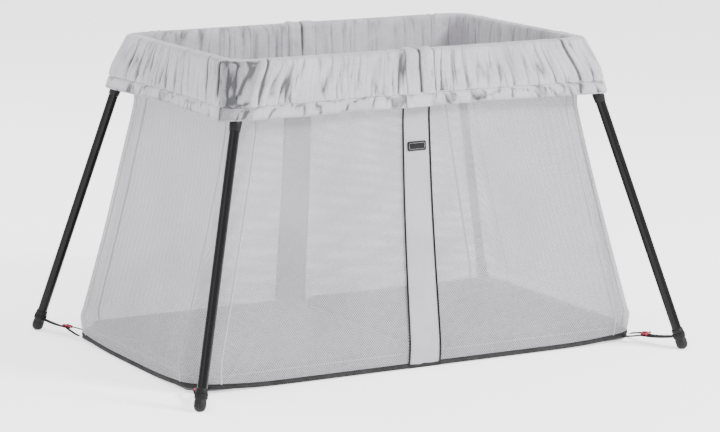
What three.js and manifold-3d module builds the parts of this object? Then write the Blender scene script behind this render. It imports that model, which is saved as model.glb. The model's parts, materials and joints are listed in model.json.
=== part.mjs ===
// Travel play yard: a folding rim frame on four splayed legs, with mesh walls, a soft floor and a mattress.
// Millimetres, +Z up. +X runs along the long sides, -Y is the front, and the origin is the middle of the
// footprint on the floor. Corner and leg pieces are drawn for the +X +Y quarter and mirrored into the others.
import * as THREE from "three";
import { mergeVertices } from "three/addons/utils/BufferGeometryUtils.js";
import Module from "manifold-3d";

const wasm = await Module();
wasm.setup();

// Rim frame
const RAIL_X = 398; // end rail centre line, from the middle
const RAIL_Y = 253; // long rail centre line, from the middle
const RAIL_Z = 625; // height of the rim's centre line
const RAIL_R = 10; // outer radius of the rail tube
const TUBE_WALL = 1.5;
const BEND_R = 40; // bend of the rim at a corner, on the centre line
const ELBOW_R = RAIL_R + 1; // outer radius of the corner moulding
const SPIGOT = 30; // length of the corner moulding inside a rail
const ROUND_HANDLE = 0.5523; // share of the radius at which a Bezier's handles draw a quarter circle

// Fold hinges in the middle of the long sides
const HINGE_X = 30; // fold pivot, from the middle
const BLOCK_T = 2 * RAIL_R; // thickness of the hinge block, along Y
const EAR_R = RAIL_R; // round end of the hinge block about a pivot
const TONGUE_T = 8; // thickness of the flattened rail end
const TONGUE_R = RAIL_R - 2;
const TONGUE_REACH = 6; // bare tongue between the block and the round part of the rail
const TONGUE_PLUG = 6; // solid length of the rail at the tongue's root
const BLOCK_OPEN = 2; // how far the block's slot runs past its round end
const PIN_R = 3;
const PIN_HEAD_R = 5;
const PIN_HEAD_T = 1.2;
const BUTTON_R = 6;
const BUTTON_STANDS = 3; // how far a lock button stands out of its block, which is its travel
const BUTTON_SUNK = 4.5; // length of the button inside its block at rest

// Legs
const PIVOT_OUT_X = 2.7; // leg pivot outside the rail's centre line
const PIVOT_OUT_Y = 19.2;
const PIVOT_DROP = 55; // leg pivot below the rim's centre line
const SPLAY_X = 149.9 / 560; // foot further out than its pivot, over the height between them
const SPLAY_Y = 129.3 / 560;
const LEG_R = 10; // outer radius of the leg tube
const LEG_LEAN = THREE.MathUtils.degToRad(6); // folded legs of one end lean apart by this, to cross clear
const HEAD_R = LEG_R + 2; // collar that holds the leg tube
const HEAD_T = 14; // thickness of the leg's tongue between the clevis ears
const EYE_R = LEG_R + 1; // round end of that tongue
const COLLAR_TOP = 18; // collar start and end, from the pivot down the leg
const COLLAR_END = 64;
const COLLAR_TAPER = 8; // length of the collar's tapered end
const COLLAR_LIP = 0.8; // thickness of the collar at that end
const TONGUE_LAP = 3; // how far the tongue runs into the collar
const TUBE_STOP = 4; // the leg tube stops short of its sleeves' blind ends by this
const CLEVIS_T = 5; // thickness of one clevis ear
const CLEVIS_BACK = 3; // how far the clevis reaches above the pivot on its outer side
const CLEVIS_ROOT = 9; // solid length of the clevis above its gap
const ARM_R = 7; // arm from the corner moulding down to the clevis
const ARM_OUT = 4.7; // the arm starts outside the bend's centre line by this, in X and in Y
const ARM_DROP = 7; // and below it by this
const FOOT_R = LEG_R + 2;
const FOOT_FLAT = 2; // how much of the foot's round end is cut flat on the floor
const FOOT_SLEEVE = 34; // length of the foot up the leg tube

// Foot straps and hooks
const WEB_W = 20;
const WEB_T = 2;
const WEB_FORK = 0.66; // share of the strap's length before it forks
const WEB_STANDOFF = 15; // strap's anchor from the leg's axis
const WEB_RAISE = 14; // strap's anchor above the foot's end, up the leg
const WEB_SHORT = 6; // the strap ends short of the floor's corner by this
const FORK_OUTER = 2.6; // outer and inner edges of the fork's ends, in half widths of the strap
const FORK_INNER = 1.4;
const HOOK_R = 9;
const HOOK_T = 4;

// Fabric
const BASE_X = RAIL_X + (117 / 625) * RAIL_Z; // outer edge of the floor, where the sloping walls reach it
const BASE_Y = RAIL_Y + (42 / 625) * RAIL_Z;
const BASE_R = 55; // plan radius of the floor's corners
const FLOOR_T = 6;
const WALL_T = 3;
const WALL_DROP = 4; // top of the walls below the rail
const SEAM_BACK = 8; // seam between an end wall and a side wall, before the corner starts
const STRAP_TOP = 28; // half width of the centre strap at the rim and at the floor
const STRAP_FOOT = 35;
const COVER_T = 2.5;
const COVER_HEM = 98; // outer flap of the rim cover, below the rim's centre line
const COVER_INSIDE = 65; // inner flap, below the rim's centre line
const COVER_SEAM = 33; // half width of the centre patch of the rim cover
const COVER_CLEAR = RAIL_R + 5; // outside of the cover beside and above the rim's centre line
const COVER_CROWN = RAIL_R + 1; // half width of the cover's flat crown
const COVER_EASE = 5; // height at which the cover's sides turn into the crown
const CROWN_INSET = 1; // the crown's inside is narrower by this
const COVER_PUFF = 3; // the centre patch stands out by this, over the lock button
const MATTRESS_T = 34;

// Clearances
const GAP = 0.4; // between pieces that touch
const RUNNING = 0.3; // between a pin, tube or spigot and the hole it is in
const FABRIC_GAP = 5; // between the mattress and the walls
const SIDES = 8; // half the number of facets of a round piece

const PIVOT = new THREE.Vector3(RAIL_X + PIVOT_OUT_X, RAIL_Y + PIVOT_OUT_Y, RAIL_Z - PIVOT_DROP);
const FOOT_Z = FOOT_R - FOOT_FLAT;
const LEG_DROP = PIVOT.z - FOOT_Z;
const FOOT = new THREE.Vector3(PIVOT.x + SPLAY_X * LEG_DROP, PIVOT.y + SPLAY_Y * LEG_DROP, FOOT_Z);
const LEG_DOWN = FOOT.clone().sub(PIVOT).normalize();
const LEG_LENGTH = FOOT.distanceTo(PIVOT);
const WALL_TOP = RAIL_Z - RAIL_R - WALL_DROP;
const WALL_BOTTOM = FLOOR_T + 1;

// Wall profile: share of the way down from the rim, and share of the way out to the floor's edge.
const WALL_PROFILE = [[0, 0], [0.19, 0], [0.91, 1], [1, 1]];

// Rim cover's outside in section, from the outer hem over the rim to the inner edge: height from the rim's
// centre line, offset of the long and of the short sides, plan radius at the corner, and how far the middle
// of the long and of the short sides is drawn in. The outer flap clears the heads of the legs.
const COVER_OUTSIDE = [
  [-COVER_HEM, HEAD_R + 33, HEAD_R + 34, 30, 18, 12],
  [-PIVOT_DROP, HEAD_R + 27, HEAD_R + 24, 32, 14, 9],
  [-25, HEAD_R + 18, HEAD_R + 13, 38, 10, 5],
  [COVER_EASE, COVER_CLEAR, COVER_CLEAR, 47, 0, 0],
  [COVER_CLEAR, COVER_CROWN, COVER_CROWN, 44, 0, 0],
  [COVER_CLEAR, -COVER_CROWN, -COVER_CROWN, 32, 0, 0],
  [COVER_EASE, -COVER_CLEAR, -COVER_CLEAR, 28, 0, 0],
  [-COVER_INSIDE, -COVER_CLEAR, -COVER_CLEAR, 28, 0, 0],
];

const material = (color, roughness, metalness = 0) =>
  new THREE.MeshStandardMaterial({ color, roughness, metalness });
const FINISH = {
  tube: () => material(0x17181a, 0.35, 0.6),
  plastic: () => material(0x141416, 0.55),
  steel: () => material(0x9a9ca0, 0.35, 1),
  hook: () => material(0x9c0a35, 0.45),
  button: () => material(0x5c5d61, 0.5),
  cover: () => material(0xcbc9ce, 0.7),
  mesh: () => material(0xc8c7cb, 0.85),
  webbing: () => material(0x161617, 0.8),
  floor: () => material(0x8d8c90, 0.9),
  mattress: () => material(0xb9b8bc, 0.85),
};

// ---- Shapes and booleans ----

function solidOf(geometry) {
  const bare = geometry.clone();
  bare.deleteAttribute("normal");
  bare.deleteAttribute("uv");
  const merged = mergeVertices(bare, 1e-4);
  const vertProperties = merged.attributes.position.array;
  const triVerts = new Uint32Array(merged.index.array);
  return new wasm.Manifold(new wasm.Mesh({ numProp: 3, vertProperties, triVerts }));
}

function geometryOf(solid) {
  const mesh = solid.getMesh();
  const geometry = new THREE.BufferGeometry();
  geometry.setAttribute("position", new THREE.BufferAttribute(mesh.vertProperties, 3));
  geometry.setIndex(new THREE.BufferAttribute(mesh.triVerts, 1));
  geometry.computeVertexNormals();
  return geometry;
}

// Joins the first list of geometries and cuts the second list out of them.
function build(joined, cuts = []) {
  let solid = solidOf(joined[0]);
  for (const piece of joined.slice(1)) solid = solid.add(solidOf(piece));
  for (const piece of cuts) solid = solid.subtract(solidOf(piece));
  return geometryOf(solid);
}

function box(x0, x1, y0, y1, z0, z1) {
  const geometry = new THREE.BoxGeometry(x1 - x0, y1 - y0, z1 - z0);
  return geometry.translate((x0 + x1) / 2, (y0 + y1) / 2, (z0 + z1) / 2);
}

// A round bar along +Z from z0 to z1, with its own radius at each end.
function bar(z0, z1, r0, r1 = r0) {
  const profile = [[0, z0], [r0, z0], [r1, z1], [0, z1]].map(([r, z]) => new THREE.Vector2(r, z));
  return new THREE.LatheGeometry(profile, 2 * SIDES).rotateX(Math.PI / 2);
}

// A hollow tube along +Z from z0 to z1.
function tube(z0, z1, radius, wall) {
  const ring = new THREE.Shape().absarc(0, 0, radius, 0, 2 * Math.PI);
  ring.holes.push(new THREE.Path().absarc(0, 0, radius - wall, 0, 2 * Math.PI, true));
  const options = { depth: z1 - z0, bevelEnabled: false, curveSegments: SIDES };
  return new THREE.ExtrudeGeometry(ring, options).translate(0, 0, z0);
}

const alongX = (geometry) => geometry.rotateY(Math.PI / 2);
const alongY = (geometry) => geometry.rotateX(-Math.PI / 2);

// Turns a geometry built along +Z so that it runs from one point towards another.
function between(geometry, from, to) {
  const direction = to.clone().sub(from).normalize();
  const turn = new THREE.Quaternion().setFromUnitVectors(new THREE.Vector3(0, 0, 1), direction);
  return geometry.applyQuaternion(turn).translate(from.x, from.y, from.z);
}

function extrude(shape, depth, z = 0) {
  const options = { depth, bevelEnabled: false, curveSegments: SIDES };
  return new THREE.ExtrudeGeometry(shape, options).translate(0, 0, z);
}

// Joins a row of matching rings of points into one closed skin, with a flat cap at each end.
function loft(rings, flatten) {
  const count = rings[0].length;
  const last = (rings.length - 1) * count;
  const index = [];
  for (let i = 0; i + 1 < rings.length; i++) {
    for (let j = 0; j < count; j++) {
      const a = i * count + j;
      const b = i * count + ((j + 1) % count);
      index.push(a, b, b + count, a, b + count, a + count);
    }
  }
  const outline = rings[0].map(flatten);
  const turn = Math.sign(THREE.ShapeUtils.area(outline));
  for (const [a, b, c] of THREE.ShapeUtils.triangulateShape(outline, [])) {
    const same = Math.sign(THREE.ShapeUtils.area([outline[a], outline[b], outline[c]])) === turn;
    const [p, q] = same ? [b, c] : [c, b];
    index.push(a, q, p, last + a, last + p, last + q);
  }
  const points = rings.flat();
  let volume = 0;
  for (let i = 0; i < index.length; i += 3) {
    const [a, b, c] = index.slice(i, i + 3).map((k) => points[k]);
    volume += a.dot(b.clone().cross(c));
  }
  if (volume < 0) index.reverse();
  const geometry = new THREE.BufferGeometry().setFromPoints(points);
  geometry.setIndex(index);
  geometry.computeVertexNormals();
  return geometry;
}

const onXY = (p) => new THREE.Vector2(p.x, p.y);
const onYZ = (p) => new THREE.Vector2(p.y, p.z);

// Stations of the plan curve: shares of the straight long side, and steps round a corner.
const LONG_STATIONS = [0, 0.5, 0.85];
const CORNER_STEPS = 4;

// Plan curve round the +X end, from the front to the back: half sizes, corner radius, where it starts in X,
// and how far the middles of the long and short sides are drawn in.
function endCurve(halfX, halfY, radius, startX, bowLong = 0, bowShort = 0) {
  const straight = { x: halfX - radius, y: halfY - radius };
  const longSide = (x) => halfY - bowLong * (1 - (x / straight.x) ** 2);
  const shortSide = (y) => halfX - bowShort * (1 - (y / straight.y) ** 2);
  const front = [];
  for (const share of LONG_STATIONS) {
    const x = THREE.MathUtils.lerp(startX, straight.x, share);
    front.push([x, -longSide(x)]);
  }
  for (let step = 0; step <= CORNER_STEPS; step++) {
    const angle = (step / CORNER_STEPS - 1) * (Math.PI / 2);
    front.push([straight.x + radius * Math.cos(angle), -straight.y + radius * Math.sin(angle)]);
  }
  front.push([shortSide(straight.y / 2), -straight.y / 2]);
  const back = front.map(([x, y]) => [x, -y]).reverse();
  return [...front, [shortSide(0), 0], ...back];
}

// ---- Piece geometries ----

// The long rail: a tube with its inner end flattened into a hinge tongue.
function longRail() {
  const shoulder = HINGE_X + EAR_R + TONGUE_REACH;
  const end = RAIL_X - BEND_R - GAP;
  const flat = TONGUE_T / 2;
  return build(
    [
      alongX(tube(shoulder, end, RAIL_R, TUBE_WALL)),
      alongX(bar(shoulder, shoulder + TONGUE_PLUG, RAIL_R)),
      box(HINGE_X, shoulder + 1, -flat, flat, -TONGUE_R, TONGUE_R),
      alongY(bar(-flat, flat, TONGUE_R)).translate(HINGE_X, 0, 0),
    ],
    [alongY(bar(-TONGUE_T, TONGUE_T, PIN_R + RUNNING)).translate(HINGE_X, 0, 0)],
  );
}

// The hinge block that joins the two long rails of one side, open below so that they can swing down.
function hingeBlock() {
  const half = BLOCK_T / 2;
  const joined = [box(-HINGE_X, HINGE_X, -half, half, -EAR_R, EAR_R)];
  const pocket = half - BUTTON_SUNK - BUTTON_STANDS - GAP;
  const cuts = [alongY(bar(pocket, half + 1, BUTTON_R + RUNNING))];
  const slot = TONGUE_T / 2 + GAP;
  for (const side of [-1, 1]) {
    const x = side * HINGE_X;
    const open = EAR_R + BLOCK_OPEN;
    joined.push(alongY(bar(-half, half, EAR_R)).translate(x, 0, 0));
    cuts.push(box(x - open, x + open, -slot, slot, -2 * EAR_R, TONGUE_R + GAP));
    cuts.push(alongY(bar(-BLOCK_T, BLOCK_T, PIN_R + RUNNING)).translate(x, 0, 0));
  }
  return build(joined, cuts);
}

// A headed pin along +Z, centred on the joint it holds.
function headedPin(halfLength) {
  const head = halfLength + RUNNING;
  return build([bar(-halfLength - 1, head + 0.1, PIN_R), bar(head, head + PIN_HEAD_T, PIN_HEAD_R)]);
}

function lockButton() {
  const half = BLOCK_T / 2;
  const face = half + BUTTON_STANDS;
  const stem = bar(half - BUTTON_SUNK, face - 1, BUTTON_R);
  return alongY(build([stem, bar(face - 1, face, BUTTON_R, BUTTON_R - 1)]));
}

// Leg's own axes at its pivot: X along the pin, Z up the leg. The lean is the sign of its crossing offset.
function legFrame(lean) {
  const end = new THREE.Vector3(0, -1, 0);
  const normal = new THREE.Vector3().crossVectors(end, LEG_DOWN).normalize();
  if (normal.x < 0) normal.negate();
  const folded = end.multiplyScalar(Math.cos(LEG_LEAN)).addScaledVector(normal, lean * Math.sin(LEG_LEAN));
  const pin = new THREE.Vector3().crossVectors(LEG_DOWN, folded).normalize();
  const up = LEG_DOWN.clone().negate();
  const across = new THREE.Vector3().crossVectors(up, pin);
  return new THREE.Matrix4().makeBasis(pin, across, up).setPosition(PIVOT);
}

// Corner moulding: a bent elbow with a spigot for each rail, and an arm down to the clevis for the leg.
function corner(lean) {
  const centre = { x: RAIL_X - BEND_R, y: RAIL_Y - BEND_R };
  const handle = BEND_R * ROUND_HANDLE;
  const bend = new THREE.CubicBezierCurve3(
    new THREE.Vector3(centre.x, RAIL_Y, RAIL_Z),
    new THREE.Vector3(centre.x + handle, RAIL_Y, RAIL_Z),
    new THREE.Vector3(RAIL_X, centre.y + handle, RAIL_Z),
    new THREE.Vector3(RAIL_X, centre.y, RAIL_Z),
  );
  const section = new THREE.Shape().absarc(0, 0, ELBOW_R, 0, 2 * Math.PI);
  const elbow = new THREE.ExtrudeGeometry(section, { steps: 6, extrudePath: bend, curveSegments: SIDES });
  const spigotR = RAIL_R - TUBE_WALL - RUNNING;
  const spigotX = alongX(bar(-SPIGOT, 1, spigotR)).translate(centre.x, RAIL_Y, RAIL_Z);
  const spigotY = alongY(bar(-SPIGOT, 1, spigotR)).translate(RAIL_X, centre.y, RAIL_Z);

  const frame = legFrame(lean);
  const inner = HEAD_T / 2 + GAP;
  const outer = inner + CLEVIS_T;
  const bridge = HEAD_R + 1;
  const top = bridge + CLEVIS_ROOT;
  const clevis = [
    box(-outer, outer, -CLEVIS_BACK, EYE_R, 0, top),
    alongX(bar(-outer, outer, EYE_R)),
  ];
  const gaps = [
    box(-inner, inner, -2 * EYE_R, 2 * EYE_R, -2 * EYE_R, bridge),
    alongX(bar(-2 * outer, 2 * outer, PIN_R + RUNNING)),
  ];
  const reach = BEND_R * Math.SQRT1_2 + ARM_OUT;
  const shoulder = new THREE.Vector3(centre.x + reach, centre.y + reach, RAIL_Z - ARM_DROP);
  const seat = PIVOT.clone().addScaledVector(LEG_DOWN, -(bridge + top) / 2);
  const arm = between(bar(0, shoulder.distanceTo(seat), ARM_R), shoulder, seat);
  for (const piece of [...clevis, ...gaps]) piece.applyMatrix4(frame);
  return build([elbow, spigotX, spigotY, arm, ...clevis], gaps);
}

// Moulding at the top of a leg, in the leg's own axes: a tongue in the clevis and a collar round the tube.
function legHead() {
  const half = HEAD_T / 2;
  return build(
    [
      alongX(bar(-half, half, EYE_R)),
      box(-half, half, -EYE_R + 1, EYE_R - 1, -COLLAR_TOP - TONGUE_LAP, 0),
      bar(-COLLAR_END + COLLAR_TAPER, -COLLAR_TOP, HEAD_R),
      bar(-COLLAR_END, -COLLAR_END + COLLAR_TAPER, LEG_R + RUNNING + COLLAR_LIP, HEAD_R),
    ],
    [
      bar(-COLLAR_END - 1, -COLLAR_TOP - TUBE_STOP, LEG_R + RUNNING),
      alongX(bar(-HEAD_T, HEAD_T, PIN_R + RUNNING)),
    ],
  );
}

const legTube = () => tube(-LEG_LENGTH + TUBE_STOP, -COLLAR_TOP - TUBE_STOP - GAP, LEG_R, TUBE_WALL);

// Foot: a sleeve on the tube's end with a round end, cut flat where it stands on the floor.
function foot(frame) {
  const cap = new THREE.SphereGeometry(FOOT_R, 2 * SIDES, SIDES).rotateX(Math.PI / 2);
  const joined = [bar(-LEG_LENGTH, -LEG_LENGTH + FOOT_SLEEVE, FOOT_R), cap.translate(0, 0, -LEG_LENGTH)];
  const bore = bar(-LEG_LENGTH + TUBE_STOP - GAP, -LEG_LENGTH + FOOT_SLEEVE + 1, LEG_R + RUNNING);
  for (const piece of [...joined, bore]) piece.applyMatrix4(frame);
  const reach = 4 * FOOT_R;
  const floor = box(FOOT.x - reach, FOOT.x + reach, FOOT.y - reach, FOOT.y + reach, -reach, 0);
  return build(joined, [bore, floor]);
}

// Axes of a foot strap: origin at its anchor on the foot, X towards the floor's corner, Y along its width.
function webFrame() {
  const cut = BASE_R * (1 - Math.SQRT1_2);
  const target = new THREE.Vector3(BASE_X - cut, BASE_Y - cut, 2 * FLOOR_T);
  const inward = target.clone().sub(FOOT).setZ(0).normalize();
  const anchor = FOOT.clone().addScaledVector(LEG_DOWN, -WEB_RAISE).addScaledVector(inward, WEB_STANDOFF);
  const along = target.clone().sub(anchor);
  const length = along.length() - WEB_SHORT;
  along.normalize();
  const width = new THREE.Vector3().crossVectors(along, LEG_DOWN).negate().normalize();
  const up = new THREE.Vector3().crossVectors(along, width);
  const frame = new THREE.Matrix4().makeBasis(along, width, up).setPosition(anchor);
  return { frame, length };
}

// Webbing between a foot and the floor's corner, forked into two arms at the corner.
function footStrap() {
  const { frame, length } = webFrame();
  const half = WEB_W / 2;
  const fork = length * WEB_FORK;
  const outline = [
    [0, half], [0, -half], [fork, -half], [length, -FORK_OUTER * half], [length, -FORK_INNER * half],
    [fork + half, 0], [length, FORK_INNER * half], [length, FORK_OUTER * half], [fork, half],
  ];
  const shape = new THREE.Shape(outline.map(([x, y]) => new THREE.Vector2(x, y)));
  return extrude(shape, WEB_T, -WEB_T / 2).applyMatrix4(frame);
}

// Open hook that lies on the webbing at its fork.
function strapHook() {
  const { frame, length } = webFrame();
  const open = THREE.MathUtils.degToRad(40);
  const shape = new THREE.Shape();
  shape.absarc(0, 0, HOOK_R, open, 2 * Math.PI - open);
  shape.absarc(0, 0, HOOK_R - HOOK_T, 2 * Math.PI - open, open, true);
  const over = Math.sign(new THREE.Vector3().setFromMatrixColumn(frame, 2).z);
  const base = over > 0 ? WEB_T / 2 + GAP : -WEB_T / 2 - GAP - HOOK_T;
  return extrude(shape, HOOK_T, base).translate(length * WEB_FORK, 0, 0).applyMatrix4(frame);
}

// ---- Fabric geometries ----

// Height, outer half sizes, corner radius and centre strap's half width at each level of the walls.
function wallLevels() {
  const { lerp } = THREE.MathUtils;
  return WALL_PROFILE.map(([down, out]) => ({
    z: lerp(WALL_TOP, WALL_BOTTOM, down),
    x: lerp(RAIL_X + 1, BASE_X, out),
    y: lerp(RAIL_Y + 2, BASE_Y, out),
    r: lerp(BEND_R + 1, BASE_R, out),
    strap: lerp(STRAP_TOP, STRAP_FOOT, down),
  }));
}

const sideSeam = (level) => level.x - level.r - SEAM_BACK;

// End wall with both of its rounded corners.
function endWall() {
  const rings = wallLevels().map((level) => {
    const start = sideSeam(level);
    const outside = endCurve(level.x, level.y, level.r, start);
    const inside = endCurve(level.x - WALL_T, level.y - WALL_T, level.r - WALL_T, start);
    return [...outside, ...inside.reverse()].map(([x, y]) => new THREE.Vector3(x, y, level.z));
  });
  return loft(rings, onXY);
}

// A flat panel of the long side between two X values that depend on the level.
function sidePanel(from, to) {
  const rings = wallLevels().map((level) => {
    const [x0, x1] = [from(level), to(level)];
    const inner = level.y - WALL_T;
    return [[x0, inner], [x1, inner], [x1, level.y], [x0, level.y]].map(
      ([x, y]) => new THREE.Vector3(x, y, level.z),
    );
  });
  return loft(rings, onXY);
}

const sideWall = () => sidePanel((level) => level.strap + GAP, (level) => sideSeam(level) - GAP);
const centreStrap = () => sidePanel((level) => -level.strap, (level) => level.strap);

// Closed section of the rim cover: its outside, and its inside one thickness nearer the rail.
function coverLevels(puff) {
  const outside = COVER_OUTSIDE.map(([z, offsetY, offsetX, r, bowLong, bowShort]) => {
    const push = offsetY > 0 && z < COVER_CLEAR ? puff : 0;
    return { z, offsetY: offsetY + push, offsetX, r, bowLong, bowShort };
  });
  const inside = outside.map((level) => {
    const { z, offsetY, offsetX, r } = level;
    const side = Math.sign(offsetY);
    const drop = z > 0 ? COVER_T : 0;
    const thin = (offset) => offset - side * (z === COVER_CLEAR ? CROWN_INSET : COVER_T);
    return { ...level, z: z - drop, offsetY: thin(offsetY), offsetX: thin(offsetX), r: r - side * COVER_T };
  });
  return [...outside, ...inside.reverse()];
}

// Rim cover of one half: a channel over the rail with a long outer flap and a short inner one.
function coverHalf() {
  const curves = coverLevels(0).map(({ z, offsetY, offsetX, r, bowLong, bowShort }) =>
    endCurve(RAIL_X + offsetX, RAIL_Y + offsetY, r, COVER_SEAM + GAP, bowLong, bowShort).map(
      ([x, y]) => new THREE.Vector3(x, y, RAIL_Z + z),
    ),
  );
  const rings = curves[0].map((_, station) => curves.map((curve) => curve[station]));
  return loft(rings, onYZ);
}

function coverCentre() {
  const levels = coverLevels(COVER_PUFF);
  const rings = [-COVER_SEAM, COVER_SEAM].map((x) =>
    levels.map(({ z, offsetY, bowLong }) => new THREE.Vector3(x, RAIL_Y + offsetY - bowLong, RAIL_Z + z)),
  );
  return loft(rings, onYZ);
}

// Outline of one half of a floor-shaped piece, with its outer corners rounded.
function halfPlan(startX, halfX, halfY, radius) {
  const shape = new THREE.Shape();
  shape.moveTo(startX, -halfY);
  shape.lineTo(halfX - radius, -halfY);
  shape.absarc(halfX - radius, -halfY + radius, radius, -Math.PI / 2, 0);
  shape.absarc(halfX - radius, halfY - radius, radius, 0, Math.PI / 2);
  shape.lineTo(startX, halfY);
  return shape;
}

const floorHalf = () => extrude(halfPlan(STRAP_FOOT + GAP, BASE_X, BASE_Y, BASE_R), FLOOR_T);
const floorCentre = () => box(-STRAP_FOOT, STRAP_FOOT, -BASE_Y, BASE_Y, 0, FLOOR_T);

function mattressHalf() {
  const inset = WALL_T + FABRIC_GAP;
  const plan = halfPlan(GAP, BASE_X - inset, BASE_Y - inset, BASE_R - inset);
  return extrude(plan, MATTRESS_T, WALL_BOTTOM);
}

// ---- Assembly ----

const yard = new THREE.Group();
const ENDS = { left: -1, right: 1 };
const SIDE_SIGNS = { front: -1, back: 1 };

function add(parent, name, geometry, finish) {
  const mesh = new THREE.Mesh(geometry, FINISH[finish]());
  mesh.name = name;
  parent.add(mesh);
  return mesh;
}

function mirrored(parent, signX, signY) {
  const group = new THREE.Group();
  group.scale.set(signX, signY, 1);
  parent.add(group);
  return group;
}

function addCentre(side, signY) {
  const group = mirrored(yard, 1, signY);
  const hub = new THREE.Group();
  hub.position.set(0, RAIL_Y, RAIL_Z);
  group.add(hub);
  add(hub, `hinge_block_${side}`, hingeBlock(), "plastic");
  add(hub, `lock_button_${side}`, lockButton(), "button");
  for (const [end, signX] of Object.entries(ENDS)) {
    const pin = add(hub, `hinge_pin_${side}_${end}`, alongY(headedPin(BLOCK_T / 2)), "steel");
    pin.position.x = signX * HINGE_X;
  }
  add(group, `cover_centre_${side}`, coverCentre(), "cover");
  add(group, `centre_strap_${side}`, centreStrap(), "mesh");
}

function addHalf(end, signX) {
  const group = mirrored(yard, signX, 1);
  const railEnd = RAIL_Y - BEND_R - GAP;
  const endRail = add(group, `rail_end_${end}`, alongY(tube(-railEnd, railEnd, RAIL_R, TUBE_WALL)), "tube");
  endRail.position.set(RAIL_X, 0, RAIL_Z);
  add(group, `wall_end_${end}`, endWall(), "mesh");
  add(group, `cover_${end}`, coverHalf(), "cover");
  add(group, `floor_${end}`, floorHalf(), "floor");
  add(group, `mattress_${end}`, mattressHalf(), "mattress");
}

function addQuarter(side, end, signX, signY) {
  const group = mirrored(yard, signX, signY);
  const suffix = `${side}_${end}`;
  const lean = signX * signY;
  const frame = legFrame(lean);
  const rail = add(group, `rail_${suffix}`, longRail(), "tube");
  rail.position.set(0, RAIL_Y, RAIL_Z);
  add(group, `corner_${suffix}`, corner(lean), "plastic");
  add(group, `wall_${suffix}`, sideWall(), "mesh");
  const pinHalf = HEAD_T / 2 + GAP + CLEVIS_T;
  add(group, `leg_pin_${suffix}`, alongX(headedPin(pinHalf)).applyMatrix4(frame), "steel");
  add(group, `leg_head_${suffix}`, legHead().applyMatrix4(frame), "plastic");
  add(group, `leg_tube_${suffix}`, legTube().applyMatrix4(frame), "tube");
  add(group, `foot_${suffix}`, foot(frame), "plastic");
  add(group, `foot_strap_${suffix}`, footStrap(), "webbing");
  add(group, `strap_hook_${suffix}`, strapHook(), "hook");
}

add(yard, "floor_centre", floorCentre(), "floor");
for (const [side, signY] of Object.entries(SIDE_SIGNS)) addCentre(side, signY);
for (const [end, signX] of Object.entries(ENDS)) {
  addHalf(end, signX);
  for (const [side, signY] of Object.entries(SIDE_SIGNS)) addQuarter(side, end, signX, signY);
}

export default yard;
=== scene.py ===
"""Travel play yard: a fabric tub with net walls, hung from a folding rim on four splayed tube legs."""

import json
import logging
import math
from dataclasses import dataclass, field
from enum import Enum
from typing import Iterable, Sequence

import bpy
import numpy as np
from mathutils import Matrix, Vector

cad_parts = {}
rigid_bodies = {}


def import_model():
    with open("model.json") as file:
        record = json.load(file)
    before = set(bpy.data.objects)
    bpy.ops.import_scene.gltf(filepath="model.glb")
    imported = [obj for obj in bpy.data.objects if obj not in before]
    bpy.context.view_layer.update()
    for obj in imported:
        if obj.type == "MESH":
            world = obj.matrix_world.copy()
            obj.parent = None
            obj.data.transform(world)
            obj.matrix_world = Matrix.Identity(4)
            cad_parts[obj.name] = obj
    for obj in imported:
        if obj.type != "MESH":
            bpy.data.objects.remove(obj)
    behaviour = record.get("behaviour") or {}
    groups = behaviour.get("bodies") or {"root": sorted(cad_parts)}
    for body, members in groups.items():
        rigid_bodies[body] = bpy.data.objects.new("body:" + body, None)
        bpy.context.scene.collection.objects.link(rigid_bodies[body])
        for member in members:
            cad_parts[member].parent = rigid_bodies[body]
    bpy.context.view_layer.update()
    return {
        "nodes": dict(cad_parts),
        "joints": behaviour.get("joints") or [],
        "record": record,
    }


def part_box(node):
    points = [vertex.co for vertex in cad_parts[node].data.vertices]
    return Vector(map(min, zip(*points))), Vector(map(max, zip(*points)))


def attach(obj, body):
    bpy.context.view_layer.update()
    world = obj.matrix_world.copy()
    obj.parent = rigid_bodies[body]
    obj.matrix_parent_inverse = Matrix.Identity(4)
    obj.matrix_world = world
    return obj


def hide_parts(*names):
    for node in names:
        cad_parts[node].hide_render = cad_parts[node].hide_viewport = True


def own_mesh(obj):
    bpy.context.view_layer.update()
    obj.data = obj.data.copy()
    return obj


for leftover in list(bpy.data.objects):
    bpy.data.objects.remove(leftover, do_unlink=True)
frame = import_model()

logging.basicConfig(level=logging.INFO, format="%(message)s")
LOG = logging.getLogger("play_yard")
MM = 0.001
CLOTH_MAP = "Cloth"
SLEEVE_CUT = 0.245  # cut width of the rim sleeve, round its section
HEM_CUT = 0.030  # cut width of the gathered hem
RAIL_BELOW = 14 * MM  # from the rim's middle down to the top edge of walls and bands
BINDING_FLAT = 0.42  # a binding's height as a share of its width
FORK_SHARE = 0.66  # where a foot strap forks, as a share of its length
HOOK_BEND = 6.8 * MM  # radius of the hook's bend
FINE_GRAIN = 14.0  # how much finer a mottle's grain is than its patches
LIGHT_AIM = (0, 0, 0.3)
FLOOR_GLOW = 1.25  # light that the studio floor gives off
AIR_GLOW = 1.45  # strength of the light from all round
FLOOR_HALF = 30.0  # half the side of the studio floor
Point = Sequence[float]


class End(Enum):
    """The two halves of the frame, with the sign of their X."""

    LEFT = -1
    RIGHT = 1

    @property
    def word(self) -> str:
        """The half's name in node and body names."""
        return self.name.lower()


class Side(Enum):
    """The two long sides, with the sign of their Y."""

    FRONT = -1
    BACK = 1

    @property
    def word(self) -> str:
        """The side's name in node names."""
        return self.name.lower()


# ---- Numbers ----


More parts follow.
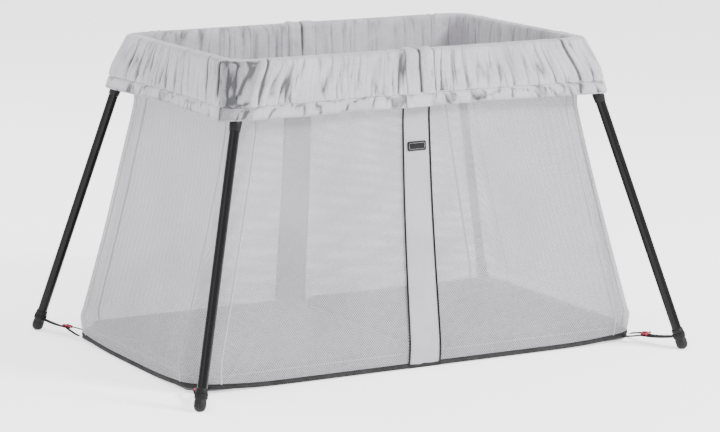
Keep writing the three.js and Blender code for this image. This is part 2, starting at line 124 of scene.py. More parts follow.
class FoldNoise:
    """Smooth value noise over a plane, the same on every run."""

    def __init__(self, seed: int) -> None:
        """Fills the lattice.

        Args:
            seed: Picks one noise among many.
        """
        self.table = np.random.default_rng(seed).random((256, 256)) * 2 - 1

    def __call__(self, x: np.ndarray, y: np.ndarray) -> np.ndarray:
        """Noise from -1 to 1 at each point.

        Args:
            x: First coordinate, in lattice steps.
            y: Second coordinate, in lattice steps.

        Returns:
            An array of the inputs' common shape.
        """
        x, y = np.broadcast_arrays(np.asarray(x, float), np.asarray(y, float))
        xi, yi = np.floor(x).astype(int), np.floor(y).astype(int)
        u, v = x - xi, y - yi
        u, v = u * u * (3 - 2 * u), v * v * (3 - 2 * v)
        x0, x1, y0, y1 = xi % 256, (xi + 1) % 256, yi % 256, (yi + 1) % 256
        low = self.table[x0, y0] * (1 - u) + self.table[x1, y0] * u
        high = self.table[x0, y1] * (1 - u) + self.table[x1, y1] * u
        return low * (1 - v) + high * v


def bump_at(x: np.ndarray, centre: float, width: float) -> np.ndarray:
    """A smooth bump of height 1 at centre that fades over width."""
    return np.exp(-(((x - centre) / width) ** 2))


def eased(x: np.ndarray, low: float, high: float) -> np.ndarray:
    """0 at low, 1 at high, and a smooth step between them."""
    t = np.clip((np.asarray(x, float) - low) / (high - low), 0, 1)
    return t * t * (3 - 2 * t)


def smooth_rows(controls: np.ndarray, count: int) -> np.ndarray:
    """A smooth run of rows through control rows.

    Args:
        controls: One row of values for each control point.
        count: How many rows to return, evenly spread over the control points.

    Returns:
        An array with count rows.
    """
    n = len(controls)
    at = np.linspace(0, n - 1, count)
    i = np.minimum(at.astype(int), n - 2)
    t = (at - i)[:, None]
    p0, p1 = controls[np.maximum(i - 1, 0)], controls[i]
    p2, p3 = controls[i + 1], controls[np.minimum(i + 2, n - 1)]
    m1, m2 = (p2 - p0) * 0.4, (p3 - p1) * 0.4
    return (
        (2 * t**3 - 3 * t**2 + 1) * p1 + (t**3 - 2 * t**2 + t) * m1
        + (3 * t**2 - 2 * t**3) * p2 + (t**3 - t**2) * m2
    )


def grid_normals(grid: np.ndarray) -> np.ndarray:
    """Unit normals of a grid of points, to the right of its columns' way seen from above."""
    normal = np.cross(np.gradient(grid, axis=1), np.gradient(grid, axis=0))
    return normal / np.maximum(np.linalg.norm(normal, axis=2, keepdims=True), 1e-12)


def run_length(points: np.ndarray) -> np.ndarray:
    """Distance along a row of points, from its first."""
    return np.concatenate([[0], np.cumsum(np.linalg.norm(np.diff(points, axis=0), axis=1))])


# ---- Meshes ----


def make_mesh(
    name: str,
    points: np.ndarray,
    faces: Iterable[Sequence[int]],
    cloth: np.ndarray | None = None,
    crease: np.ndarray | None = None,
    tone: np.ndarray | None = None,
) -> bpy.types.Object:
    """One smooth-shaded mesh object.

    Args:
        name: The piece's name.
        points: Its vertices, in metres.
        faces: Vertex indices of each face.
        cloth: Flat position of each vertex on the cloth, in metres.
        crease: How deep in a crease each vertex lies, from 0 to 1; the cloth finish paints shade by it.
        tone: How much darker the cloth is at each vertex, from 0 to 1.

    Returns:
        The object, linked into the scene.
    """
    mesh = bpy.data.meshes.new(name)
    mesh.from_pydata(np.asarray(points, float).tolist(), [], [list(map(int, f)) for f in faces])
    mesh.validate()
    mesh.polygons.foreach_set("use_smooth", [True] * len(mesh.polygons))
    if cloth is not None:
        corner = np.zeros(len(mesh.loops), np.int32)
        mesh.loops.foreach_get("vertex_index", corner)
        layer = mesh.uv_layers.new(name=CLOTH_MAP)
        layer.data.foreach_set("uv", np.asarray(cloth, np.float32)[corner].ravel())
    # The crease attribute drives painted shade in the folds; the tone attribute darkens the loose corner
    # patch and paints shade in its slit.
    for label, values in (("crease", crease), ("tone", tone)):
        if values is not None:
            attribute = mesh.attributes.new(label, "FLOAT", "POINT")
            attribute.data.foreach_set("value", np.asarray(values, np.float32).ravel())
    thing = bpy.data.objects.new(name, mesh)
    bpy.context.scene.collection.objects.link(thing)
    return thing


def grid_faces(rows: int, columns: int) -> list[list[int]]:
    """Quads of a grid of vertices, in row order."""
    corners = [r * columns + c for r in range(rows - 1) for c in range(columns - 1)]
    return [[a, a + 1, a + columns + 1, a + columns] for a in corners]


def ring_faces(rings: int, sides: int) -> list[list[int]]:
    """Faces of a closed tube of rings, with its two flat ends.

    Args:
        rings: Rings of vertices along it.
        sides: Vertices in a ring.

    Returns:
        The faces.
    """
    faces = []
    for r in range(rings - 1):
        for c in range(sides):
            d = (c + 1) % sides
            faces.append([r * sides + c, r * sides + d, (r + 1) * sides + d, (r + 1) * sides + c])
    return faces + [list(range(sides))[::-1], [(rings - 1) * sides + c for c in range(sides)]]


def sheet_mesh(
    name: str,
    grid: np.ndarray,
    end: End | None = None,
    thickness: float = 0.0,
    crease: np.ndarray | None = None,
    tone: np.ndarray | None = None,
    outward: bool = True,
) -> bpy.types.Object:
    """A cloth sheet from a grid of points.

    Args:
        name: The piece's name.
        grid: Points as rows x columns x 3, drawn for the +X half.
        end: The half it belongs to, which mirrors it; None leaves it.
        thickness: Gives the cloth a body of this thickness, inwards.
        crease: Crease depth of each point, which the cloth finish paints as shade.
        tone: Darkening of each point.
        outward: False turns the faces round.

    Returns:
        The object.
    """
    rows, columns = grid.shape[:2]
    across = np.array([run_length(grid[r]) for r in (0, rows // 2, rows - 1)]).max(axis=0)
    up = run_length(grid[:, columns // 2])
    cloth = np.stack(np.meshgrid(across, up), axis=2).reshape(-1, 2)
    points = grid.reshape(-1, 3).copy()
    flip = not outward
    if end is End.LEFT:
        points[:, 0] *= -1
        flip = not flip
    faces = grid_faces(rows, columns)
    if flip:
        faces = [face[::-1] for face in faces]
    thing = make_mesh(name, points, faces, cloth, crease, tone)
    if thickness:
        solid = thing.modifiers.new("Cloth thickness", "SOLIDIFY")
        solid.thickness = thickness
        solid.offset = -1
    return thing


def turned_mesh(
    name: str, profile: Sequence[tuple[float, float]], placing: Matrix, sides: int = 40
) -> bpy.types.Object:
    """A round piece turned about its own Z.

    Args:
        name: The piece's name.
        profile: (height, radius) pairs from one closed end to the other.
        placing: Its place in the frame.
        sides: Facets round it.

    Returns:
        The object.
    """
    angle = np.linspace(0, 2 * math.pi, sides, endpoint=False)
    heights, radii = np.array(profile, float).T
    x, y = np.outer(radii, np.cos(angle)), np.outer(radii, np.sin(angle))
    z = np.repeat(heights[:, None], sides, axis=1)
    points = np.stack([x, y, z], axis=2).reshape(-1, 3)
    world = np.array([placing @ Vector(p) for p in points])
    return make_mesh(name, world, ring_faces(len(profile), sides))


def slab_mesh(
    name: str, outline: Sequence[Point], thickness: float, bevel: float, placing: Matrix
) -> bpy.types.Object:
    """A flat piece with softened edges, cut to an outline in its own XY plane.

    Args:
        name: The piece's name.
        outline: Points round the piece, anticlockwise.
        thickness: Its thickness, centred on the plane.
        bevel: Width of the softened edge.
        placing: Its place in the frame.

    Returns:
        The object.
    """
    flat = np.array(outline, float)
    count = len(flat)
    ahead, behind = np.roll(flat, -1, axis=0) - flat, flat - np.roll(flat, 1, axis=0)
    ahead /= np.linalg.norm(ahead, axis=1, keepdims=True)
    behind /= np.linalg.norm(behind, axis=1, keepdims=True)
    tangent = ahead + behind
    tangent /= np.linalg.norm(tangent, axis=1, keepdims=True)
    inward = np.stack([-tangent[:, 1], tangent[:, 0]], axis=1)
    half = thickness / 2
    layers = [(-half, 1.0), (-half + 0.3 * bevel, 0.3), (-half + bevel, 0), (half - bevel, 0),
              (half - 0.3 * bevel, 0.3), (half, 1.0)]
    points = [np.column_stack([flat + inward * bevel * pull, np.full(count, z)]) for z, pull in layers]
    world = np.array([placing @ Vector(p) for p in np.concatenate(points)])
    return make_mesh(name, world, ring_faces(len(layers), count))


def cord_mesh(
    name: str, path: np.ndarray, radius: float, sides: int = 8, flat: float = 1.0,
    wide: np.ndarray | None = None,
) -> bpy.types.Object:
    """A piping or thread laid along a path, its ends closed.

    Args:
        name: The piece's name.
        path: Points along its middle.
        radius: Half its width.
        sides: Facets round it.
        flat: Its height as a share of its width.
        wide: The direction of its width at each point; None picks one.

    Returns:
        The object.
    """
    tangent = np.gradient(path, axis=0)
    tangent /= np.maximum(np.linalg.norm(tangent, axis=1, keepdims=True), 1e-12)
    if wide is None:
        guess = np.array([0.0, 0.0, 1.0]) if abs(tangent[0][2]) < 0.8 else np.array([1.0, 0.0, 0.0])
        wide = np.cross(tangent, guess)
    wide = wide - tangent * (wide * tangent).sum(axis=1, keepdims=True)
    wide /= np.maximum(np.linalg.norm(wide, axis=1, keepdims=True), 1e-12)
    thin = np.cross(tangent, wide)
    angle = np.linspace(0, 2 * math.pi, sides, endpoint=False)
    ring = radius * (
        np.cos(angle)[None, :, None] * wide[:, None] + flat * np.sin(angle)[None, :, None] * thin[:, None]
    )
    points = (path[:, None] + ring).reshape(-1, 3)
    cloth = np.stack(np.meshgrid(np.linspace(0, 2 * radius, sides), run_length(path)), axis=2)
    return make_mesh(name, points, ring_faces(len(path), sides), cloth.reshape(-1, 2))


def stitch_mesh(
    name: str, path: np.ndarray, outward: np.ndarray, pitch: float = 4 * MM, radius: float = 0.45 * MM
) -> bpy.types.Object:
    """A row of separate stitches along a path.

    Args:
        name: The piece's name.
        path: Points of the seam.
        outward: The direction away from the cloth at each point.
        pitch: Length of a stitch with its gap.
        radius: Half the thread's width.

    Returns:
        The object.
    """
    along = run_length(path)
    starts = np.arange(pitch / 2, along[-1] - pitch, pitch)
    points, faces = [], []
    for start in starts:
        ends = []
        for at, rise in ((0, 0), (0.25, 1), (0.5, 1), (0.75, 0)):
            here = np.array([np.interp(start + at * pitch, along, path[:, k]) for k in range(3)])
            away = np.array([np.interp(start, along, outward[:, k]) for k in range(3)])
            ends.append(here + away * (radius * (0.4 + rise)))
        tangent = ends[-1] - ends[0]
        tangent /= max(np.linalg.norm(tangent), 1e-12)
        across = np.cross(tangent, away)
        base = len(points)
        for here in ends:
            points += [here + way * radius for way in (across, away, -across, -away)]
        for r in range(3):
            for c in range(4):
                d = (c + 1) % 4
                faces.append([base + 4 * r + c, base + 4 * r + d, base + 4 * r + 4 + d, base + 4 * r + 4 + c])
        faces += [[base + 3, base + 2, base + 1, base], [base + 12, base + 13, base + 14, base + 15]]
    return make_mesh(name, np.array(points), faces)


# ---- Shader node groups ----


class Graph:
    """A thin hand on one node tree."""

    def __init__(self, tree: bpy.types.NodeTree) -> None:
        """Works on a tree.

        Args:
            tree: The node tree to add nodes to.
        """
        self.tree = tree

    def add(self, kind: str, inputs: dict | None = None, **settings: object) -> bpy.types.Node:
        """Adds a node.

        Args:
            kind: Its type, without the ShaderNode in front.
            inputs: Values or sockets for its inputs, by name or index.
            **settings: Its properties.

        Returns:
            The node.
        """
        node = self.tree.nodes.new("ShaderNode" + kind)
        for key, value in settings.items():
            setattr(node, key, value)
        self.feed(node, inputs or {})
        return node

    def feed(self, node: bpy.types.Node, inputs: dict) -> None:
        """Gives a node's inputs their values, or links sockets to them."""
        for key, value in inputs.items():
            if isinstance(value, bpy.types.NodeSocket):
                self.tree.links.new(value, node.inputs[key])
            else:
                node.inputs[key].default_value = value

    def maths(self, operation: str, *values: object) -> bpy.types.NodeSocket:
        """The result of a Math node.

        Args:
            operation: Its operation.
            *values: Numbers or sockets.

        Returns:
            Its output socket.
        """
        return self.add("Math", dict(enumerate(values)), operation=operation).outputs[0]

    def ramp(self, value: object, low: float, high: float, to_low: float = 0, to_high: float = 1) -> object:
        """A smooth Map Range from low..high to to_low..to_high, held at both ends."""
        inputs = {0: value, 1: low, 2: high, 3: to_low, 4: to_high}
        return self.add("MapRange", inputs, interpolation_type="SMOOTHSTEP").outputs[0]


def new_group(name: str, inputs: Sequence[tuple], outputs: Sequence[tuple]) -> tuple[Graph, object, object]:
    """An empty node group with its sockets.

    Args:
        name: The group's name.
        inputs: (name, socket type, default) of each input.
        outputs: (name, socket type) of each output.

    Returns:
        Its graph, its input node and its output node.
    """
    tree = bpy.data.node_groups.new(name, "ShaderNodeTree")
    for label, kind, default in inputs:
        socket = tree.interface.new_socket(label, in_out="INPUT", socket_type="NodeSocket" + kind)
        if default is not None:
            socket.default_value = default
    for label, kind in outputs:
        tree.interface.new_socket(label, in_out="OUTPUT", socket_type="NodeSocket" + kind)
    return Graph(tree), tree.nodes.new("NodeGroupInput"), tree.nodes.new("NodeGroupOutput")


def net_group() -> bpy.types.NodeTree:
    """Diamond net: threads crossing on the slant with open holes between them."""
    g, given, out = new_group(
        "Diamond net",
        [
            ("Vector", "Vector", None), ("Pitch", "Float", 0.004), ("Thread", "Float", 0.3),
            ("Thread alpha", "Float", 0.86), ("Hole alpha", "Float", 0.3),
        ],
        [("Alpha", "Float"), ("Height", "Float"), ("Knot", "Float")],
    )
    split = g.add("SeparateXYZ", {0: given.outputs["Vector"]})
    u = g.maths("DIVIDE", split.outputs[0], given.outputs["Pitch"])
    v = g.maths("DIVIDE", split.outputs[1], given.outputs["Pitch"])
    lines = []
    for operation in ("ADD", "SUBTRACT"):
        wave = g.maths("PINGPONG", g.maths(operation, u, g.maths("MULTIPLY", v, 0.8)), 0.5)
        lines.append(g.maths("MULTIPLY", wave, 2.0))
    near = g.maths("MINIMUM", *lines)
    far = g.maths("MAXIMUM", *lines)
    inputs = {0: near, 1: given.outputs["Thread"], 2: g.maths("ADD", given.outputs["Thread"], 0.22)}
    inputs[3] = given.outputs["Thread alpha"]
    inputs[4] = given.outputs["Hole alpha"]
    cover = g.add("MapRange", inputs, interpolation_type="SMOOTHSTEP")
    g.tree.links.new(cover.outputs[0], out.inputs["Alpha"])
    g.tree.links.new(g.ramp(near, 0.0, 0.5, 1, 0), out.inputs["Height"])
    g.tree.links.new(g.ramp(far, 0.0, 0.6, 1, 0), out.inputs["Knot"])
    return g.tree


def weave_group() -> bpy.types.NodeTree:
    """Plain weave: over-and-under threads as a height, with uneven yarn."""
    g, given, out = new_group(
        "Plain weave",
        [("Vector", "Vector", None), ("Pitch", "Float", 0.0008), ("Slub", "Float", 0.3)],
        [("Height", "Float"), ("Yarn", "Float")],
    )
    split = g.add("SeparateXYZ", {0: given.outputs["Vector"]})
    turns = []
    for axis in (0, 1):
        turn = g.maths("DIVIDE", split.outputs[axis], given.outputs["Pitch"])
        turns.append(g.maths("SINE", g.maths("MULTIPLY", turn, math.pi)))
    cross = g.maths("MULTIPLY", *turns)
    stretch = g.add("VectorMath", {0: given.outputs["Vector"], 1: (900.0, 70.0, 1.0)}, operation="MULTIPLY")
    yarn = g.add("TexNoise", {"Vector": stretch.outputs[0], "Scale": 1.0, "Detail": 3.0})
    uneven = g.maths("MULTIPLY", yarn.outputs[0], given.outputs["Slub"])
    g.tree.links.new(g.maths("ADD", g.maths("ABSOLUTE", cross), uneven), out.inputs["Height"])
    g.tree.links.new(yarn.outputs[0], out.inputs["Yarn"])
    return g.tree


def mottle_group() -> bpy.types.NodeTree:
    """Soft uneven patches with a finer grain in them, as a value round a half."""
    g, given, out = new_group(
        "Mottle",
        [("Vector", "Vector", None), ("Scale", "Float", 12.0), ("Grain", "Float", 0.3)],
        [("Value", "Float")],
    )
    where, scale = given.outputs["Vector"], given.outputs["Scale"]
    broad = g.add("TexNoise", {"Vector": where, "Scale": scale, "Detail": 4.0})
    finer = g.maths("MULTIPLY", scale, FINE_GRAIN)
    fine = g.add("TexNoise", {"Vector": where, "Scale": finer, "Detail": 2.0})
    mixed = g.add("Mix", {0: given.outputs["Grain"], 2: broad.outputs[0], 3: fine.outputs[0]})
    g.tree.links.new(mixed.outputs[0], out.inputs["Value"])
    return g.tree


def wear_group() -> bpy.types.NodeTree:
    """Scuffs and dust that gather low down: a mask that fades out above a height."""
    g, given, out = new_group(
        "Low wear",
        [("Vector", "Vector", None), ("Top", "Float", 0.05), ("Amount", "Float", 0.5)],
        [("Scuff", "Float"), ("Dust", "Float")],
    )
    height = g.add("SeparateXYZ", {0: given.outputs["Vector"]}).outputs[2]
    near = g.maths("SUBTRACT", 1.0, g.maths("DIVIDE", height, given.outputs["Top"]))
    near = g.maths("MAXIMUM", near, 0.0)
    stretch = g.add("VectorMath", {0: given.outputs["Vector"], 1: (220.0, 220.0, 60.0)}, operation="MULTIPLY")
    scratch = g.add("TexNoise", {"Vector": stretch.outputs[0], "Scale": 1.0, "Detail": 5.0, "Roughness": 0.7})
    marks = g.maths("MULTIPLY", g.ramp(scratch.outputs[0], 0.56, 0.72), given.outputs["Amount"])
    g.tree.links.new(marks, out.inputs["Scuff"])
    g.tree.links.new(g.maths("MULTIPLY", near, given.outputs["Amount"]), out.inputs["Dust"])
    return g.tree


class Groups:
    """The shared node groups, each built once."""

    net: bpy.types.NodeTree
    weave: bpy.types.NodeTree
    mottle: bpy.types.NodeTree
    wear: bpy.types.NodeTree

    @classmethod
    def build(cls) -> None:
        """Makes the groups."""
        cls.net, cls.weave, cls.mottle, cls.wear = net_group(), weave_group(), mottle_group(), wear_group()


def use_group(graph: Graph, tree: bpy.types.NodeTree, **inputs: object) -> bpy.types.Node:
    """Places a shared group in a material.

    Args:
        graph: The material's graph.
        tree: The group.
        **inputs: Its inputs, with _ for each space in a name.

    Returns:
        The group node.
    """
    named = {key.replace("_", " "): value for key, value in inputs.items()}
    return graph.add("Group", named, node_tree=tree)


# ---- Finishes ----

Colour = tuple[float, float, float]


def start_material(name: str) -> tuple[bpy.types.Material, Graph, bpy.types.Node]:
    """A material with its Principled shader.

    Args:
        name: The material's name.

    Returns:
        The material, its graph and the shader node.
    """
    material = bpy.data.materials.new(name)
    material.use_nodes = True
    return material, Graph(material.node_tree), material.node_tree.nodes["Principled BSDF"]


def blend_colours(graph: Graph, factor: object, first: object, second: object) -> bpy.types.NodeSocket:
    """A mix of two colours by a factor."""
    first, second = ((*c, 1.0) if isinstance(c, tuple) else c for c in (first, second))
    return graph.add("Mix", {0: factor, 6: first, 7: second}, data_type="RGBA").outputs[2]


def give_bump(graph: Graph, shader: bpy.types.Node, height: object, distance: float, strength: float) -> None:
    """Feeds a height to the shader's normal.

    Args:
        graph: The material's graph.
        shader: Its Principled shader.
        height: The height socket.
        distance: How far the height reaches, in metres.
        strength: From 0 to 1.
    """
    bump = graph.add("Bump", {"Height": height, "Distance": distance, "Strength": strength})
    graph.tree.links.new(bump.outputs[0], shader.inputs["Normal"])


@dataclass(frozen=True)
class WovenCloth:
    """A plain woven cloth, darkened by painted shade in its creases and by its tone attribute."""

    name: str
    colour: Colour
    shade: Colour
    roughness: float = 0.6
    sheen: float = 0.25
    pitch: float = 0.9 * MM
    relief: float = 0.35 * MM
    patches: float = 14.0

    def build(self) -> bpy.types.Material:
        """Makes the material."""
        material, g, shader = start_material(self.name)
        cloth = g.add("UVMap", uv_map=CLOTH_MAP).outputs[0]
        where = g.add("TexCoord").outputs["Object"]
        weave = use_group(g, Groups.weave, Vector=cloth, Pitch=self.pitch)
        mottle = use_group(g, Groups.mottle, Vector=where, Scale=self.patches)
        crease = g.add("Attribute", attribute_name="crease").outputs["Fac"]
        tone = g.add("Attribute", attribute_name="tone").outputs["Fac"]
        # Painted shade: the crease attribute pulls the colour towards the shade colour deep in the folds and
        # along pinched seams.
        deep = g.maths("MULTIPLY", crease, 0.85)
        uneven = g.ramp(mottle.outputs[0], 0.3, 0.72, 0.0, 0.26)
        yarn = g.ramp(weave.outputs["Yarn"], 0.35, 0.75, 0.0, 0.10)
        # Yarn unevenness plus the tone attribute, which darkens the loose front corner patch and paints shade
        # in its slit.
        marks = g.maths("ADD", yarn, g.maths("MULTIPLY", tone, 0.75))
        total = g.maths("ADD", g.maths("ADD", deep, uneven), marks)
        darkness = g.add("Math", {0: total, 1: 0.0}, operation="ADD", use_clamp=True)
        colour = blend_colours(g, darkness.outputs[0], self.colour, self.shade)
        rough = g.ramp(mottle.outputs[0], 0.2, 0.8, self.roughness - 0.06, self.roughness + 0.08)
        g.feed(shader, {"Base Color": colour, "Roughness": rough})
        g.feed(shader, {"Sheen Weight": self.sheen, "Sheen Roughness": 0.45})
        give_bump(g, shader, weave.outputs["Height"], self.relief, 0.6)
        return material


@dataclass(frozen=True)
class NetCloth:
    """An open knitted net that lets what is behind it show."""

    name: str
    colour: Colour
    shade: Colour
    pitch: float = 5.0 * MM
    thread: float = 0.30
    hole_alpha: float = 0.42

    def build(self) -> bpy.types.Material:
        """Makes the material."""
        material, g, shader = start_material(self.name)
        cloth = g.add("UVMap", uv_map=CLOTH_MAP).outputs[0]
        where = g.add("TexCoord").outputs["Object"]
        sizes = {"Pitch": self.pitch, "Thread": self.thread, "Hole_alpha": self.hole_alpha}
        net = use_group(g, Groups.net, Vector=cloth, **sizes)
        mottle = use_group(g, Groups.mottle, Vector=where, Scale=7.0)
        shadow = g.ramp(net.outputs["Height"], 0.0, 1.0, 0.75, 0.0)
        uneven = g.ramp(mottle.outputs[0], 0.3, 0.7, 0.0, 0.22)
        colour = blend_colours(g, g.maths("ADD", shadow, uneven), self.colour, self.shade)
        rough = g.ramp(net.outputs["Knot"], 0, 1, 0.72, 0.6)
        g.feed(shader, {"Base Color": colour, "Alpha": net.outputs["Alpha"], "Roughness": rough})
        g.feed(shader, {"Sheen Weight": 0.2})
        give_bump(g, shader, net.outputs["Height"], 0.5 * MM, 0.7)
        return material


@dataclass(frozen=True)
class Webbing:
    """Tight ribbed webbing or piping."""

    name: str
    colour: Colour
    dusty: Colour
    pitch: float = 1.5 * MM

    def build(self) -> bpy.types.Material:
        """Makes the material."""
        material, g, shader = start_material(self.name)
        where = g.add("TexCoord").outputs["Object"]
        weave = use_group(g, Groups.weave, Vector=where, Pitch=self.pitch, Slub=0.6)
        mottle = use_group(g, Groups.mottle, Vector=where, Scale=30.0, Grain=0.5)
        wear = use_group(g, Groups.wear, Vector=where, Top=0.04, Amount=0.35)
        fade = g.maths("ADD", g.ramp(mottle.outputs[0], 0.35, 0.7, 0.0, 0.3), wear.outputs["Dust"])
        colour = blend_colours(g, fade, self.colour, self.dusty)
        rough = g.ramp(weave.outputs["Yarn"], 0.3, 0.7, 0.62, 0.82)
        g.feed(shader, {"Base Color": colour, "Roughness": rough, "Specular IOR Level": 0.12})
        give_bump(g, shader, weave.outputs["Height"], 0.4 * MM, 0.8)
        return material


@dataclass(frozen=True)
class Moulded:
    """Moulded plastic or rubber with a fine spark texture and scuffs near the floor."""

    name: str
    colour: Colour
    scuffed: Colour
    roughness: float = 0.42
    texture: float = 0.12 * MM
    wear: float = 0.4
    coat: float = 0.0

    def build(self) -> bpy.types.Material:
        """Makes the material."""
        material, g, shader = start_material(self.name)
        where = g.add("TexCoord").outputs["Object"]
        mottle = use_group(g, Groups.mottle, Vector=where, Scale=60.0, Grain=0.6)
        wear = use_group(g, Groups.wear, Vector=where, Top=0.06, Amount=self.wear)
        worn = g.maths("MAXIMUM", g.maths("MULTIPLY", wear.outputs["Scuff"], 0.5), wear.outputs["Dust"])
        worn = g.maths("MULTIPLY", worn, g.ramp(mottle.outputs[0], 0.3, 0.7, 0.3, 1.0))
        colour = blend_colours(g, worn, self.colour, self.scuffed)
        rough = g.ramp(mottle.outputs[0], 0.25, 0.75, self.roughness - 0.07, self.roughness + 0.1)
        g.feed(shader, {"Base Color": colour, "Roughness": rough})
        g.feed(shader, {"Coat Weight": self.coat, "Specular IOR Level": 0.2})
        grain = g.add("TexNoise", {"Vector": where, "Scale": 900.0, "Detail": 2.0})
        give_bump(g, shader, grain.outputs[0], self.texture, 0.5)
        return material


@dataclass(frozen=True)
class Lacquer:
    """Glossy lacquer on drawn tube, with faint lengthwise unevenness and a few scratches."""

    name: str
    colour: Colour
    bare: Colour
    roughness: float = 0.24

    def build(self) -> bpy.types.Material:
        """Makes the material."""
        material, g, shader = start_material(self.name)
        where = g.add("TexCoord").outputs["Object"]
        mottle = use_group(g, Groups.mottle, Vector=where, Scale=25.0, Grain=0.35)
        wear = use_group(g, Groups.wear, Vector=where, Top=0.10, Amount=0.3)
        scratch = g.maths("MULTIPLY", wear.outputs["Scuff"], 0.25)
        colour = blend_colours(g, scratch, self.colour, self.bare)
        rough = g.ramp(mottle.outputs[0], 0.25, 0.75, self.roughness - 0.05, self.roughness + 0.09)
        g.feed(shader, {"Base Color": colour, "Roughness": rough})
        g.feed(shader, {"Coat Weight": 0.14, "Coat Roughness": 0.08, "Specular IOR Level": 0.12})
        peel = g.add("TexNoise", {"Vector": where, "Scale": 420.0, "Detail": 1.0})
        give_bump(g, shader, peel.outputs[0], 0.05 * MM, 0.35)
        return material


@dataclass(frozen=True)
class PlatedSteel:
    """Zinc-plated steel with a fine turned grain."""

    name: str
    colour: Colour
    dull: Colour

    def build(self) -> bpy.types.Material:
        """Makes the material."""
        material, g, shader = start_material(self.name)
        where = g.add("TexCoord").outputs["Object"]
        mottle = use_group(g, Groups.mottle, Vector=where, Scale=180.0, Grain=0.5)
        colour = blend_colours(g, mottle.outputs[0], self.colour, self.dull)
        rough = g.ramp(mottle.outputs[0], 0.2, 0.8, 0.25, 0.45)
        g.feed(shader, {"Base Color": colour, "Roughness": rough, "Metallic": 1.0})
        give_bump(g, shader, mottle.outputs[0], 0.05 * MM, 0.4)
        return material


class Finishes:
    """Every finish of the yard, by the name of its material slot."""

    made: dict[str, bpy.types.Material] = {}

    @classmethod
    def build(cls) -> None:
        """Makes one material for each slot."""
        black, dusty = (0.003, 0.003, 0.0035), (0.05, 0.05, 0.05)
        silver, silver_shade = (0.42, 0.402, 0.445), (0.04, 0.04, 0.047)
        finishes = {
            "rim_cover": WovenCloth("Silver ruched cloth", silver, silver_shade),
            "mesh_wall": NetCloth("Light grey net", (0.44, 0.42, 0.465), (0.12, 0.117, 0.127)),
            "net_seam": WovenCloth("Net seam tape", (0.34, 0.34, 0.36), (0.16, 0.16, 0.17), pitch=1.2 * MM),
            "centre_strap": WovenCloth(
                "Grey band cloth", (0.36, 0.346, 0.378), (0.17, 0.165, 0.18), sheen=0.15, relief=0.3 * MM
            ),
            "mattress": WovenCloth(
                "Grey jersey", (0.10, 0.097, 0.104), (0.045, 0.045, 0.047),
                roughness=0.8, sheen=0.3, pitch=1.4 * MM,
            ),
            "floor_fabric": WovenCloth(
                "Coated base cloth", (0.09, 0.09, 0.10), (0.03, 0.03, 0.03),
                roughness=0.55, sheen=0.0, pitch=1.1 * MM,
            ),
            "webbing": Webbing("Black webbing", black, dusty),
            "tube": Lacquer("Black lacquered tube", (0.0025, 0.0025, 0.003), (0.06, 0.06, 0.06)),
            "black_plastic": Moulded("Black moulding", black, dusty),
            "foot_rubber": Moulded("Black rubber", black, (0.06, 0.06, 0.058), roughness=0.5, wear=0.2),
            "lock_button": Moulded("Grey moulding", (0.11, 0.11, 0.12), (0.2, 0.2, 0.2), wear=0.1),
            "hook": Moulded(
                "Crimson moulding", (0.30, 0.004, 0.030), (0.35, 0.12, 0.13),
                roughness=0.3, wear=0.2, coat=0.3,
            ),
            "steel_pin": PlatedSteel("Zinc plated steel", (0.56, 0.56, 0.57), (0.34, 0.34, 0.35)),
            "label": Webbing("Black woven label", (0.008, 0.008, 0.009), (0.05, 0.05, 0.05), pitch=0.6 * MM),
            "label_thread": Webbing("Grey label thread", (0.45, 0.45, 0.46), (0.6, 0.6, 0.6), pitch=0.6 * MM),
        }
        for slot, finish in finishes.items():
            cls.made[slot] = finish.build()

    @classmethod
    def dress(cls, thing: bpy.types.Object, slot: str) -> None:
        """Gives an object the finish of a slot, in place of what it has."""
        thing.data.materials.clear()
        thing.data.materials.append(cls.made[slot])


def place(
    thing: bpy.types.Object, body: str, finish: str, replaced: Sequence[str] = (),
) -> bpy.types.Object:
    """Dresses a piece, puts it on its body and hides the CAD nodes that it stands for.

    Args:
        thing: The piece.
        body: The CAD body that it moves with.
        finish: Its finish.
        replaced: CAD nodes that it stands for.

    Returns:
        The piece.
    """
    Finishes.dress(thing, finish)
    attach(thing, body)
    if replaced:
        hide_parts(*replaced)
    LOG.info("%s on %s, finish %s", thing.name, body, finish)
    return thing


# ---- Sizes of the tub, from the frame ----


@dataclass(frozen=True)
class Ring:
    """One level of the tub in plan, with how far the middles of its sides are drawn in."""

    half_x: float
    half_y: float
    radius: float
    bow_long: float = 0.0
    bow_short: float = 0.0


@dataclass(frozen=True)
class Columns:
    """How many columns a sheet has along each stretch of a half: long side, corner and short side."""

    long: int
    corner: int
    short: int

    def plan(self, ring: Ring, start_x: float) -> np.ndarray:
        """Points round the +X end in plan, from the front to the back.

        Args:
            ring: The level.
            start_x: Where the half starts.

        Returns:
            One (x, y) row for each column.
        """
        sx, sy, r = ring.half_x - ring.radius, ring.half_y - ring.radius, ring.radius
        x = np.linspace(start_x, sx, self.long, endpoint=False)
        front = np.column_stack([x, -(ring.half_y - ring.bow_long * (1 - (x / sx) ** 2))])
        angle = np.linspace(-math.pi / 2, 0, self.corner, endpoint=False)
        bend = np.column_stack([sx + r * np.cos(angle), -sy + r * np.sin(angle)])
        y = np.linspace(-sy, sy, self.short)
        flat = np.column_stack([ring.half_x - ring.bow_short * (1 - (y / sy) ** 2), y])
        mirrored = np.concatenate([front, bend])[::-1] * [1, -1]
        return np.concatenate([front, bend, flat, mirrored])

    @property
    def front_corner(self) -> tuple[int, int]:
        """Columns where the front corner starts and ends."""
        return self.long, self.long + self.corner

    @property
    def back_corner(self) -> tuple[int, int]:
        """Columns where the back corner starts and ends."""
        start = self.long + self.corner + self.short - 1
        return start, start + self.corner


